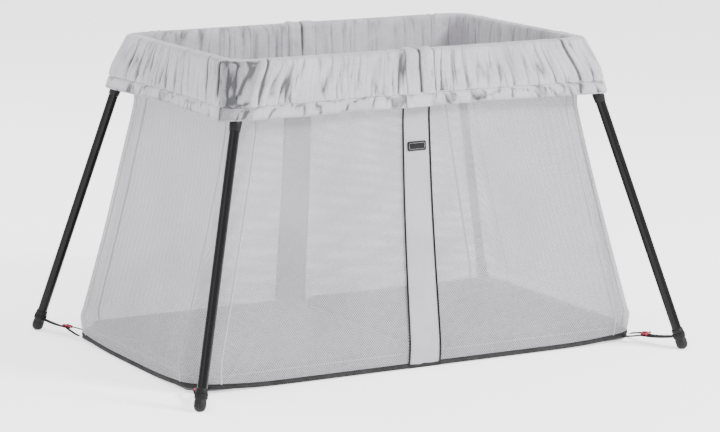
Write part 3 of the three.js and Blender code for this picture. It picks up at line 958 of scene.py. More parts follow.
@dataclass(frozen=True)
class TubSizes:
    """Where the frame puts the rim, the walls and the floor."""

    rail_x: float
    rail_y: float
    rail_z: float
    base_x: float
    base_y: float
    floor_t: float
    hem_z: float
    strap_top: float = 28 * MM
    strap_foot: float = 35 * MM
    bend: float = 40 * MM
    base_bend: float = 55 * MM
    cover_seam: float = 33 * MM

    @classmethod
    def from_frame(cls) -> "TubSizes":
        """Reads the sizes off the CAD nodes."""
        end_low, end_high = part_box("rail_end_right")
        long_low, long_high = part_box("rail_back_right")
        floor_low, floor_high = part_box("floor_right")
        return cls(
            rail_x=(end_low[0] + end_high[0]) / 2,
            rail_y=(long_low[1] + long_high[1]) / 2,
            rail_z=(end_low[2] + end_high[2]) / 2,
            base_x=floor_high[0],
            base_y=floor_high[1],
            floor_t=floor_high[2] - floor_low[2],
            hem_z=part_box("cover_right")[0][2],
        )

    def wall_share(self, z: np.ndarray) -> np.ndarray:
        """How far the wall has moved out to the floor's edge at a height, from 0 to 1."""
        down = np.clip((self.rail_z - 0.125 - np.asarray(z, float)) / (self.rail_z - 0.18), 0, 1)
        return down**1.08

    def wall_ring(self, z: float) -> Ring:
        """The wall's outside at a height."""
        share = float(self.wall_share(z))
        low = max(0.0, 0.05 - z) / 0.05
        tuck = 7 * MM * (1 - math.sqrt(max(0.0, 1 - low * low)))

        def mix(high: float, low_edge: float) -> float:
            """The value at this height, between the rim's and the floor's."""
            return high + (low_edge - high) * share

        slack = 5 * MM * math.sin(math.pi * min(1.0, max(0.0, z / self.rail_z))) ** 2
        return Ring(
            mix(self.rail_x + 1 * MM, self.base_x) - tuck,
            mix(self.rail_y + 2 * MM, self.base_y) - tuck,
            mix(self.bend, self.base_bend),
            slack,
            slack,
        )

    def strap_half(self, z: float) -> float:
        """Half width of the centre strap at a height."""
        return self.strap_foot + (self.strap_top - self.strap_foot) * z / self.rail_z


@dataclass(frozen=True)
class Fold:
    """Gives soft pieces a mesh of their own; it leaves their shape as it is."""

    sizes: TubSizes

    def follow(self, thing: bpy.types.Object, end: End | None, keep: float) -> None:
        """Gives a piece a mesh of its own, not shared with any other object.

        Args:
            thing: The piece, already on its body.
            end: Not used.
            keep: Not used.
        """
        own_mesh(thing)


def body_of_end(end: End | None) -> str:
    """The frame body of a half, or of the middle."""
    return f"{end.word}_frame" if end else "centre_hinges"


# ---- Rim cover ----


@dataclass
class RimCover:
    """The ruched sleeve over the rim, with its gathered hem, corner patches and hinge patches."""

    sizes: TubSizes
    fold: Fold
    columns: Columns = Columns(190, 40, 210)
    rows: int = 64
    hem_rows: int = 14
    gather: float = 72 * MM
    inside: float = 66 * MM
    thickness: float = 1.2 * MM
    keep: float = 0.45
    patch_long: float = 62 * MM
    patch_short: float = 88 * MM
    outline: np.ndarray = field(init=False)

    def __post_init__(self) -> None:
        """Sets the sleeve's section: height from the rim, offsets, corner radius and draw-in of the sides."""
        g = self.gather
        self.outline = MM * np.array([
            [-g / MM, 38, 38, 34, 13, 11],
            [-g / MM + 8, 37, 37, 34, 12, 10],
            [-48, 33.5, 34, 36, 11, 8],
            [-25, 26, 26, 40, 8, 5],
            [0, 17.5, 17.5, 46, 1, 1],
            [9, 14.5, 14.5, 46, 0, 0],
            [14.5, 10, 10, 43, 0, 0],
            [15.6, 0, 0, 38, 0, 0],
            [14.5, -10, -10, 33, 0, 0],
            [8, -14.5, -14.5, 29, 0, 0],
            [-8, -16, -16, 28, 0, 0],
            [-34, -16.5, -16.5, 28, 0, 0],
            [-self.inside / MM, -16, -16, 28, 0, 0],
        ])

    def ring(self, row: np.ndarray) -> Ring:
        """The level of one row of the section."""
        s = self.sizes
        return Ring(s.rail_x + row[2], s.rail_y + row[1], row[3], row[4], row[5])

    def surface(self, section: np.ndarray) -> np.ndarray:
        """The smooth grid of one half before any fold is in it."""
        levels = []
        for row in section:
            flat = self.columns.plan(self.ring(row), self.sizes.cover_seam)
            height = np.full((len(flat), 1), self.sizes.rail_z + row[0])
            levels.append(np.hstack([flat, height]))
        return np.array(levels)

    def ruching(self, along: np.ndarray, share: np.ndarray, seed: int) -> np.ndarray:
        """Depth of the gathered folds.

        Args:
            along: Distance along the rim of each column, in metres.
            share: Place of each row, from 0 at the outer gather over the rim to 1 at the inner hem.
            seed: Makes the two halves differ.

        Returns:
            Outward displacement as rows x columns, in metres.
        """
        noise, broad = FoldNoise(seed), FoldNoise(seed + 50)
        s, v = np.meshgrid(along, share)
        slant = s + 0.008 * broad(s * 6, v * 2) + 0.030 * v * broad(s * 2.2, 4 + 0 * v)
        fine = np.abs(noise(slant * 165, v * 3.0)) ** 0.6
        folds = np.abs(noise(slant * 88 + 40, v * 2.1 + 9)) ** 0.55
        wide = np.abs(noise(slant * 41 + 90, v * 1.5 + 21)) ** 0.6
        near_gather = 0.55 + 0.45 * eased(v, 0.42, 0.05)
        top = 1 - 0.80 * bump_at(v, 0.52, 0.09)
        pull = 0.55 + 0.45 * eased(broad(s * 8, v * 1.2 + 3), -0.6, 0.4)
        inner = 1 - 0.25 * eased(v, 0.5, 0.62)
        relief = 2.6 * fine + 3.9 * folds + 1.8 * wide - 3.6
        return MM * pull * top * near_gather * inner * relief

    def seams(self, along: np.ndarray) -> dict[str, float]:
        """Distance along the rim of each vertical seam of the patches."""
        f0, f1 = (along[c] for c in self.columns.front_corner)
        b0, b1 = (along[c] for c in self.columns.back_corner)
        return {
            "front_long": f0 - self.patch_long + 0.03, "front_short": f1 + self.patch_short - 0.03,
            "back_short": b0 - self.patch_short + 0.03, "back_long": b1 + self.patch_long - 0.03,
        }

    def build_half(self, end: End) -> None:
        """Builds one half of the sleeve and its hem.

        Args:
            end: The half.
        """
        seed = 11 if end is End.LEFT else 23
        section = smooth_rows(self.outline, self.rows)
        grid = self.surface(section)
        along = run_length(grid[self.rows // 2])
        share = np.linspace(0, 1, self.rows)
        depth = self.ruching(along, share, seed)
        tone = np.zeros_like(depth)
        outer = eased(share, 0.62, 0.5)[:, None]
        seams = self.seams(along)
        for at in seams.values():
            depth -= 2.2 * MM * outer * bump_at(along, at, 3.2 * MM)[None]
            lips = bump_at(along, at - 0.008, 4 * MM) + bump_at(along, at + 0.008, 4 * MM)
            depth += 1.3 * MM * outer * lips[None]
        if end is End.LEFT:
            depth, tone = self.loose_corner(along, share, depth, tone, seams)
        depth -= 2.2 * MM * bump_at(share, 0.0, 0.025)[:, None]
        grid = grid + grid_normals(grid) * depth[..., None]
        # Painted shade: the crease attribute is high deep in the ruched folds, at the seams and along the
        # gather.
        crease = np.clip(0.16 - depth / (1.7 * MM), 0, 1) ** 1.2
        piece = sheet_mesh(f"rim_sleeve_{end.word}", grid, end, self.thickness, crease, tone)
        self.finish(piece, end, (along[-1], SLEEVE_CUT), [f"cover_{end.word}"])
        self.build_hem(end, along, seed)

    def loose_corner(
        self, along: np.ndarray, share: np.ndarray, depth: np.ndarray, tone: np.ndarray,
        seams: dict[str, float],
    ) -> tuple[np.ndarray, np.ndarray]:
        """The slack front corner patch: darker, with an open slit beside the end that gets painted shade.

        Args:
            along: Distance along the rim of each column.
            share: Place of each row over the sleeve.
            depth: Displacement so far.
            tone: Darkening so far.
            seams: Where the patch's seams are.

        Returns:
            The new displacement and darkening.
        """
        noise = FoldNoise(77)
        low, high = seams["front_long"], seams["front_short"]
        middle = (low + high) / 2
        patch = eased(along, low + 0.012, low + 0.020) * eased(along, middle + 0.024, middle + 0.016)
        outer = eased(share, 0.55, 0.45)[:, None]
        s, v = np.meshgrid(along, share)
        slant = s + 0.018 * v * noise(s * 20, v * 3)
        crumple = 3.4 * MM * np.abs(noise(slant * 60, v * 6)) ** 0.7
        crumple = crumple + 1.2 * MM * noise(slant * 120, v * 16 + 5) - 1.6 * MM
        depth = depth * (1 - 0.6 * patch * outer) + crumple * patch * outer
        tone = tone + 0.62 * patch * outer * (0.80 + 0.20 * noise(s * 45, v * 10))
        slit = bump_at(s, middle + 0.028 - 0.006 * v, 3.0 * MM) * eased(v, 0.10, 0.22) * eased(v, 0.47, 0.40)
        lip = bump_at(s, middle + 0.035 - 0.006 * v, 4.0 * MM) * eased(v, 0.0, 0.1) * eased(v, 0.5, 0.42)
        # Painted shade: the tone attribute is darkened along the slit, where the opening is in shade.
        return depth - 4.5 * MM * slit + 2.6 * MM * lip, tone + 0.9 * slit

    def build_hem(self, end: End, along: np.ndarray, seed: int) -> None:
        """Builds the flounce below the gather, its stitching and its thread.

        Args:
            end: The half.
            along: Distance along the rim of each column.
            seed: Makes the two halves differ.
        """
        drop = self.sizes.rail_z - self.sizes.hem_z
        outline = np.array([
            [-self.gather + 3 * MM, *MM * np.array([37.0, 37, 34, 12, 10])],
            [-self.gather, *MM * np.array([36.5, 36.5, 34, 13, 11])],
            [-self.gather - 6 * MM, *MM * np.array([39.6, 39.6, 32, 14, 11])],
            [-drop + 5 * MM, *MM * np.array([41.0, 42, 31, 16, 12])],
            [-drop, *MM * np.array([41.3, 42.3, 31, 17, 12])],
        ])
        section = smooth_rows(outline[::-1], self.hem_rows)
        grid = self.surface(section)
        noise, broad = FoldNoise(seed + 5), FoldNoise(seed + 9)
        share = np.linspace(1, 0, self.hem_rows)
        s, v = np.meshgrid(along, share)
        slant = s + 0.010 * v * np.sign(broad(s * 4, 0 * v) + 0.2)
        waves = 3.0 * np.abs(noise(slant * 58, v * 1.1)) ** 0.55
        waves = waves + 1.5 * np.abs(noise(slant * 130, v * 2.0 + 3)) ** 0.6 - 2.0
        depth = MM * waves * (0.30 + 0.70 * eased(v, 0.0, 0.8))
        grid = grid + grid_normals(grid) * depth[..., None]
        grid[..., 2] += MM * eased(v, 0.3, 1.0) * 1.6 * (0.9 + noise(s * 20, 0 * v + 8))
        # Painted shade: darker deep in the hem's folds and in a band at the gather seam, under the sleeve.
        crease = np.clip(0.15 - depth / (1.1 * MM), 0, 1) ** 1.2 + 0.6 * bump_at(v, 0.16, 0.05)
        tone = np.zeros_like(depth)
        if end is End.LEFT:
            f0, f1 = (along[c] for c in self.columns.front_corner)
            near = eased(along, f0 - 0.03, f0 - 0.02)[None]
            tone += 0.5 * near * eased(along, f1 + 0.004, f1 - 0.004)[None]
        piece = sheet_mesh(f"hem_flounce_{end.word}", grid, end, self.thickness, crease, tone)
        self.finish(piece, end, (along[-1], HEM_CUT))
        away = grid_normals(grid)[2]
        self.add_stitches(f"hem_stitches_{end.word}", grid[2] + away * 0.4 * MM, away, end)

    def add_stitches(self, name: str, path: np.ndarray, away: np.ndarray, end: End | None) -> None:
        """Lays a row of stitches that folds with the cover."""
        if end is End.LEFT:
            path, away = path * [-1, 1, 1], away * [-1, 1, 1]
        row = stitch_mesh(name, path, away)
        place(row, body_of_end(end), "label_thread")
        self.fold.follow(row, end, self.keep)

    def finish(
        self, piece: bpy.types.Object, end: End | None, flat: tuple[float, float],
        replaced: Sequence[str] = (),
    ) -> None:
        """Args:
            piece: The sheet.
            end: Its half, or None for the middle.
            flat: Not used.
            replaced: CAD nodes that it stands for.
        """
        place(piece, body_of_end(end), "rim_cover", replaced=replaced)
        self.fold.follow(piece, end, self.keep)

    def build_patch(self, side: Side) -> None:
        """Builds the pinched patch over a hinge, with three vertical seams, and its hem.

        Args:
            side: The long side that it is on.
        """
        section = smooth_rows(self.outline, self.rows)
        half = self.sizes.cover_seam + 1.5 * MM
        x = np.linspace(-half, half, 49)
        share = np.linspace(0, 1, self.rows)
        noise = FoldNoise(31 + side.value)
        s, v = np.meshgrid(x, share)
        outer = eased(share, 0.62, 0.45)[:, None]
        puff = 2.4 * MM * (np.abs(np.sin(math.pi * x / half))[None] ** 0.7)
        pinch = bump_at(x, 0, 2.6 * MM)[None] + bump_at(np.abs(x), half, 2.6 * MM)[None]
        crumple = 1.5 * MM * noise(s * 120 + 3, v * 9) + 1.0 * MM * noise(s * 60, v * 22)
        depth = puff + crumple - 2.6 * MM * pinch * (0.4 + 0.6 * outer)
        offset = section[:, 1] - section[:, 4]
        y = np.repeat((self.sizes.rail_y + offset)[:, None], len(x), axis=1)
        z = np.repeat((self.sizes.rail_z + section[:, 0])[:, None], len(x), axis=1)
        grid = np.stack([s, -y, z], axis=2)
        grid = grid + grid_normals(grid) * depth[..., None]
        # Painted shade: darker in the three pinched seams and deep in the creases.
        crease = np.clip(0.2 + 0.75 * pinch - depth / (5 * MM), 0, 1)
        grid[..., 1] *= -side.value
        name = f"hinge_patch_{side.word}"
        piece = sheet_mesh(name, grid, None, self.thickness, crease, None, outward=side is Side.FRONT)
        self.finish(piece, None, (2 * half, SLEEVE_CUT), [f"cover_centre_{side.word}"])
        self.build_patch_hem(side, half)

    def build_patch_hem(self, side: Side, half: float) -> None:
        """Builds the flounce under a hinge patch."""
        drop = self.sizes.rail_z - self.sizes.hem_z
        x = np.linspace(-half, half, 33)
        heights = np.linspace(-drop, -self.gather + 3 * MM, self.hem_rows)
        share = np.linspace(1, 0, self.hem_rows)
        noise = FoldNoise(41 + side.value)
        s, v = np.meshgrid(x, share)
        out = 24.5 * MM + 2.5 * MM * eased(v, 0, 0.5) + MM * 1.6 * noise(s * 75, v) * (0.3 + v)
        z = self.sizes.rail_z + heights[:, None] + 0 * s
        grid = np.stack([s, -(self.sizes.rail_y + out), z], axis=2)
        grid[..., 1] *= -side.value
        # Painted shade: darker where the hem's folds are pushed in.
        crease = np.clip(0.1 - MM * noise(s * 75, v) / (1.6 * MM) * 0.5, 0, 1)
        name = f"hinge_patch_hem_{side.word}"
        piece = sheet_mesh(name, grid, None, self.thickness, crease, None, outward=side is Side.FRONT)
        self.finish(piece, None, (2 * half, HEM_CUT))

    def build(self) -> None:
        """Builds the whole cover."""
        for end in End:
            self.build_half(end)
        for side in Side:
            self.build_patch(side)


# ---- Net walls, strap and floor ----


@dataclass
class NetWalls:
    """The net walls of both halves, their corner seams and the black binding at the floor."""

    sizes: TubSizes
    fold: Fold
    columns: Columns = Columns(90, 20, 90)
    rows: int = 72
    keep: float = 0.045
    binding: float = 5.5 * MM
    lift: float = 9 * MM

    def corner_weight(self, count: int) -> np.ndarray:
        """1 at the middle of each corner and 0 along the sides."""
        weight = np.zeros(count)
        for start, stop in (self.columns.front_corner, self.columns.back_corner):
            middle = (start + stop) / 2
            weight = np.maximum(weight, np.exp(-(((np.arange(count) - middle) / (stop - start)) ** 2)))
        return weight

    def surface(self, end: End) -> np.ndarray:
        """The wall's grid of one half, with its slack and its corner creases.

        Args:
            end: The half.

        Returns:
            Points as rows x columns x 3, the lowest row first.
        """
        s = self.sizes
        share = np.linspace(0, 1, self.rows) ** 1.25
        heights = (s.floor_t + 2 * MM) + (s.rail_z - RAIL_BELOW - s.floor_t - 2 * MM) * share
        levels = []
        for z in heights:
            flat = self.columns.plan(s.wall_ring(z), s.strap_half(z))
            levels.append(np.hstack([flat, np.full((len(flat), 1), z)]))
        grid = np.array(levels)
        weight = self.corner_weight(grid.shape[1])
        low = eased(heights, 0.055, 0.0)[:, None]
        grid[..., 2] += self.lift * weight[None] * low
        noise = FoldNoise(61 + end.value)
        along = run_length(grid[0])
        sm, zm = np.meshgrid(along, heights)
        depth = 1.6 * MM * noise(sm * 7, zm * 5) * eased(zm, 0.0, 0.15)
        corner = along[self.columns.front_corner[0]]
        for reach, rise in ((0.030, 0.9), (0.012, 1.7), (0.055, 0.45)):
            away = corner - sm - reach
            crease = np.exp(-(((zm - 0.014 - away * rise) / 0.0055) ** 2)) * eased(away, 0.0, 0.02)
            depth += 3.4 * MM * crease * eased(away, 0.17, 0.03)
        depth += 2.2 * MM * np.exp(-(((zm - 0.052) / 0.009) ** 2)) * (0.6 + 0.4 * noise(sm * 9, 0 * zm))
        return grid + grid_normals(grid) * depth[..., None]

    def build_half(self, end: End) -> None:
        """Builds one half's net, seams and binding.

        Args:
            end: The half.
        """
        grid = self.surface(end)
        net = sheet_mesh(f"net_wall_{end.word}", grid, end)
        replaced = [f"wall_end_{end.word}", f"wall_front_{end.word}", f"wall_back_{end.word}"]
        place(net, body_of_end(end), "mesh_wall", replaced=replaced)
        self.fold.follow(net, end, self.keep)
        out = grid_normals(grid)
        for label, column in self.seam_columns().items():
            self.build_seam(f"net_seam_{label}_{end.word}", grid, out, column, end)
        self.build_binding(grid, end)

    def seam_columns(self) -> dict[str, int]:
        """Column of each upright seam of a half."""
        front, back = self.columns.front_corner, self.columns.back_corner
        return {
            "front_corner": front[0] - 1, "front_end": front[1] + 1,
            "back_end": back[0] - 1, "back_corner": back[1] + 1,
        }

    def build_seam(self, name: str, grid: np.ndarray, out: np.ndarray, column: int, end: End) -> None:
        """Lays a flat tape over the net along one column."""
        middle, away = grid[:, column], out[:, column]
        step = grid[:, column + 1] - grid[:, column]
        step /= np.linalg.norm(step, axis=1, keepdims=True)
        shift = np.array([-2.2, -1.1, 0, 1.1, 2.2])[None, :, None] * MM
        swell = np.array([0.3, 0.9, 1.1, 0.9, 0.3])[None, :, None] * MM
        tape = middle[:, None] + step[:, None] * shift + away[:, None] * swell
        piece = sheet_mesh(name, tape, end, 0.5 * MM, np.zeros(tape.shape[:2]), np.zeros(tape.shape[:2]))
        place(piece, body_of_end(end), "net_seam")
        self.fold.follow(piece, end, self.keep)

    def build_binding(self, grid: np.ndarray, end: End) -> None:
        """Wraps the floor's edge in a black binding."""
        path = grid[0].copy()
        path[:, 2] = np.maximum(path[:, 2] - 1.5 * MM, self.binding + 0.2 * MM)
        if end is End.LEFT:
            path[:, 0] *= -1
        wide = np.tile([0.0, 0.0, 1.0], (len(path), 1))
        band = cord_mesh(f"floor_binding_{end.word}", path, self.binding, 12, BINDING_FLAT, wide)
        place(band, body_of_end(end), "webbing")
        self.fold.follow(band, end, self.keep)

    def build(self) -> None:
        """Builds both halves."""
        for end in End:
            self.build_half(end)


@dataclass
class CentreStraps:
    """The cloth band with black piping down the middle of each long side, and the blank label."""

    sizes: TubSizes
    fold: Fold
    rows: int = 60
    piping: float = 1.7 * MM
    label_z: float = 0.446
    label_size: tuple[float, float] = (42 * MM, 19 * MM)
    keep: float = 0.045

    def wall_y(self, z: float) -> float:
        """Outside of the wall at its middle, at a height."""
        ring = self.sizes.wall_ring(z)
        return ring.half_y - ring.bow_long

    def build_side(self, side: Side) -> None:
        """Builds the band and piping of one side.

        Args:
            side: The long side.
        """
        s = self.sizes
        heights = np.linspace(1.5 * MM, s.rail_z - RAIL_BELOW, self.rows)
        across = np.linspace(-1, 1, 15)
        noise = FoldNoise(91 + side.value)
        grid = np.zeros((self.rows, len(across), 3))
        for r, z in enumerate(heights):
            grid[r, :, 0] = across * (s.strap_half(z) + 0.5 * MM)
            swell = 1.3 * MM + 0.9 * MM * noise(across * 3, 0 * across + z * 16) * (1 - across**2)
            grid[r, :, 1] = side.value * (self.wall_y(z) + swell)
            grid[r, :, 2] = z
        zeros = np.zeros(grid.shape[:2])
        name = f"centre_band_{side.word}"
        piece = sheet_mesh(name, grid, None, 1.0 * MM, zeros, zeros, outward=side is Side.FRONT)
        place(piece, "centre_hinges", "centre_strap", replaced=[f"centre_strap_{side.word}"])
        self.fold.follow(piece, None, self.keep)
        for end in End:
            column = 0 if end is End.LEFT else -1
            path = grid[:, column] + [0, side.value * 0.9 * MM, 0]
            cord = cord_mesh(f"strap_piping_{side.word}_{end.word}", path, self.piping, 10)
            place(cord, "centre_hinges", "webbing")
            self.fold.follow(cord, None, self.keep)

    def build_label(self) -> None:
        """Sews a blank woven label on the front band, with a plain border."""
        y = -(self.wall_y(self.label_z) + 3.0 * MM)
        lean = math.atan2(self.wall_y(self.label_z - 0.02) - self.wall_y(self.label_z + 0.02), 0.04)
        turn = Matrix.Rotation(math.pi / 2 - lean, 4, "X")
        placing = Matrix.Translation((0, y, self.label_z)) @ turn
        w, h = self.label_size
        outline = rounded_box(w, h, 3.5 * MM)
        label = slab_mesh("blank_label", outline, 1.2 * MM, 0.4 * MM, placing)
        place(label, "centre_hinges", "label")
        self.fold.follow(label, None, self.keep)
        ring = np.array(rounded_box(w - 7 * MM, h - 7 * MM, 1.5 * MM))
        ring = np.vstack([ring, ring[:1]])
        path = np.array([placing @ Vector((a, b, 0.7 * MM)) for a, b in ring])
        away = np.tile(np.array((placing.to_3x3() @ Vector((0, 0, 1)))), (len(path), 1))
        thread = stitch_mesh("blank_label_border", path, away, 2.2 * MM, 0.32 * MM)
        place(thread, "centre_hinges", "label_thread")
        self.fold.follow(thread, None, self.keep)

    def build(self) -> None:
        """Builds both straps and the label."""
        for side in Side:
            self.build_side(side)
        self.build_label()


def rounded_box(width: float, height: float, radius: float, steps: int = 5) -> list[tuple[float, float]]:
    """Outline of a rectangle with round corners, anticlockwise."""
    points = []
    for cx, cy, start in ((1, -1, -90), (1, 1, 0), (-1, 1, 90), (-1, -1, 180)):
        for k in range(steps + 1):
            angle = math.radians(start + 90 * k / steps)
            x = cx * (width / 2 - radius) + radius * math.cos(angle)
            points.append((x, cy * (height / 2 - radius) + radius * math.sin(angle)))
    return points


@dataclass
class SoftFloor:
    """The coated base cloth under the tub, in three panels."""

    sizes: TubSizes
    fold: Fold
    keep: float = 0.045
    columns: int = 40
    rows: int = 50

    def panel(self, name: str, x0: float, x1: float, end: End | None, replaced: str) -> None:
        """Builds one panel with a faint quilted ripple.

        Args:
            name: The panel's name.
            x0: Its inner edge.
            x1: Its outer edge.
            end: Its half, or None for the middle.
            replaced: The CAD node that it stands for.
        """
        s = self.sizes
        inset = 4 * MM
        noise = FoldNoise(7)
        share = np.linspace(0, 1, self.columns)
        x = x0 + (x1 - x0) * share
        r = s.base_bend
        reach = np.full_like(x, s.base_y - inset)
        if end is not None:
            into = np.clip((x - (s.base_x - r)) / r, 0, 1)
            reach = s.base_y - inset - r * (1 - np.sqrt(np.maximum(0, 1 - into**2)))
        rows = np.linspace(-1, 1, self.rows)
        grid = np.zeros((self.rows, self.columns, 3))
        grid[..., 0] = x[None]
        grid[..., 1] = rows[:, None] * reach[None]
        ripple = 0.5 * MM * noise(grid[..., 0] * 18, grid[..., 1] * 18)
        grid[..., 2] = s.floor_t - 1 * MM + ripple
        zeros = np.zeros(grid.shape[:2])
        piece = sheet_mesh(name, grid, end, s.floor_t - 1.8 * MM, zeros, zeros, outward=False)
        place(piece, body_of_end(end), "floor_fabric", replaced=[replaced])
        self.fold.follow(piece, end, self.keep)

    def build(self) -> None:
        """Builds the three panels."""
        s = self.sizes
        for end in End:
            self.panel(f"base_cloth_{end.word}", s.strap_foot, s.base_x - 4 * MM, end, f"floor_{end.word}")
        self.panel("base_cloth_centre", -s.strap_foot, s.strap_foot, None, "floor_centre")
        for side in Side:
            x = np.linspace(-s.strap_foot - 1 * MM, s.strap_foot + 1 * MM, 12)
            y = side.value * (s.wall_ring(s.floor_t).half_y + 0 * x)
            path = np.column_stack([x, y, 0 * x + 5.7 * MM])
            wide = np.tile([0.0, 0.0, 1.0], (12, 1))
            band = cord_mesh(f"floor_binding_{side.word}", path, 5.5 * MM, 12, BINDING_FLAT, wide)
            place(band, "centre_hinges", "webbing")
            self.fold.follow(band, None, self.keep)


# ---- Mattress ----


@dataclass
class Mattress:
    """The fold-up mattress: two padded halves in a jersey cover."""

    inset: float = 5 * MM
    voxel: float = 7 * MM
    pressure: float = 4.0
    cap: float = 5 * MM
    frames: int = 20
    corner: float = 45 * MM

    def block(self, name: str, low: Vector, high: Vector) -> bpy.types.Object:
        """A plain slab a little inside the pad's space.

        Args:
            name: The slab's name.
            low: Lowest corner of the pad's space.
            high: Its highest corner.

        Returns:
            The object.
        """
        centre = (low + high) / 2
        size = high - low
        outline = rounded_box(size.x - 2 * self.inset, size.y - 2 * self.inset, self.corner, 8)
        placing = Matrix.Translation(centre)
        return slab_mesh(name, outline, size.z - 2 * self.inset, 8 * MM, placing)

    def applied(self, block: bpy.types.Object) -> bpy.types.Mesh:
        """The block's mesh with its modifiers in it, which it then loses."""
        seen = block.evaluated_get(bpy.context.evaluated_depsgraph_get())
        mesh = bpy.data.meshes.new_from_object(seen)
        block.modifiers.clear()
        return mesh

    def padded_points(self, block: bpy.types.Object) -> bpy.types.Mesh:
        """Blows the slab up as a cushion cover.

        Args:
            block: The slab.

        Returns:
            The swollen mesh.
        """
        remesh = block.modifiers.new("Even skin", "REMESH")
        remesh.mode, remesh.voxel_size = "VOXEL", self.voxel
        even = self.applied(block)
        block.data = even
        start = np.array([v.co for v in even.vertices])
        cloth = block.modifiers.new("Filling", "CLOTH")
        cloth.settings.use_pressure = True
        cloth.settings.uniform_pressure_force = self.pressure
        cloth.settings.effector_weights.gravity = 0
        for step in range(1, self.frames + 1):
            bpy.context.scene.frame_set(step)
        swollen = self.applied(block)
        bpy.context.scene.frame_set(1)
        move = np.array([v.co for v in swollen.vertices]) - start
        size = np.linalg.norm(move, axis=1, keepdims=True)
        move *= np.minimum(1, self.cap / np.maximum(size, 1e-9))
        swollen.vertices.foreach_set("co", (start + move).astype(np.float32).ravel())
        return swollen

    def build_half(self, end: End) -> None:
        """Builds one half.

        Args:
            end: The half.
        """
        low, high = (Vector(c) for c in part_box(f"mattress_{end.word}"))
        block = self.block(f"mattress_pad_{end.word}", low, high)
        block.data = self.padded_points(block)
        points = np.array([v.co for v in block.data.vertices])
        size = high - low
        share = (points[:, 2] - low.z) / size.z
        crumple = FoldNoise(101 + end.value)
        top = eased(share, 0.6, 1.0)
        points[:, 2] += top * MM * (1.1 * crumple(points[:, 0] * 14, points[:, 1] * 14)
                                    + 0.5 * crumple(points[:, 0] * 45, points[:, 1] * 45))
        points = np.clip(points, np.array(low) - 1 * MM, np.array(high) + 1.5 * MM)
        block.data.vertices.foreach_set("co", points.astype(np.float32).ravel())
        layer = block.data.uv_layers.get(CLOTH_MAP) or block.data.uv_layers.new(name=CLOTH_MAP)
        corner = np.zeros(len(block.data.loops), np.int32)
        block.data.loops.foreach_get("vertex_index", corner)
        layer.data.foreach_set("uv", points[corner][:, :2].astype(np.float32).ravel())
        block.data.polygons.foreach_set("use_smooth", [True] * len(block.data.polygons))
        finer = block.modifiers.new("Finer skin", "SUBSURF")
        finer.levels = finer.render_levels = 1
        body = f"mattress_{end.word}_half"
        place(block, body, "mattress", replaced=[f"mattress_{end.word}"])
        self.edge_seam(end, low, high, body)

    def edge_seam(self, end: End, low: Vector, high: Vector, body: str) -> None:
        """Runs a piping round the middle of the half's edge."""
        outline = np.array(rounded_box(*(high - low).xy, self.corner + 4 * MM, 8)) * 0.9985
        centre = (low + high) / 2
        ring = np.vstack([outline, outline[:1]]) + np.array([centre.x, centre.y])
        path = np.column_stack([ring, np.full(len(ring), centre.z + 7 * MM)])
        cord = cord_mesh(f"mattress_piping_{end.word}", path, 1.3 * MM, 8)
        place(cord, body, "net_seam")

    def build(self) -> None:
        """Builds both halves."""
        for end in End:
            self.build_half(end)


# ---- Legs and feet ----


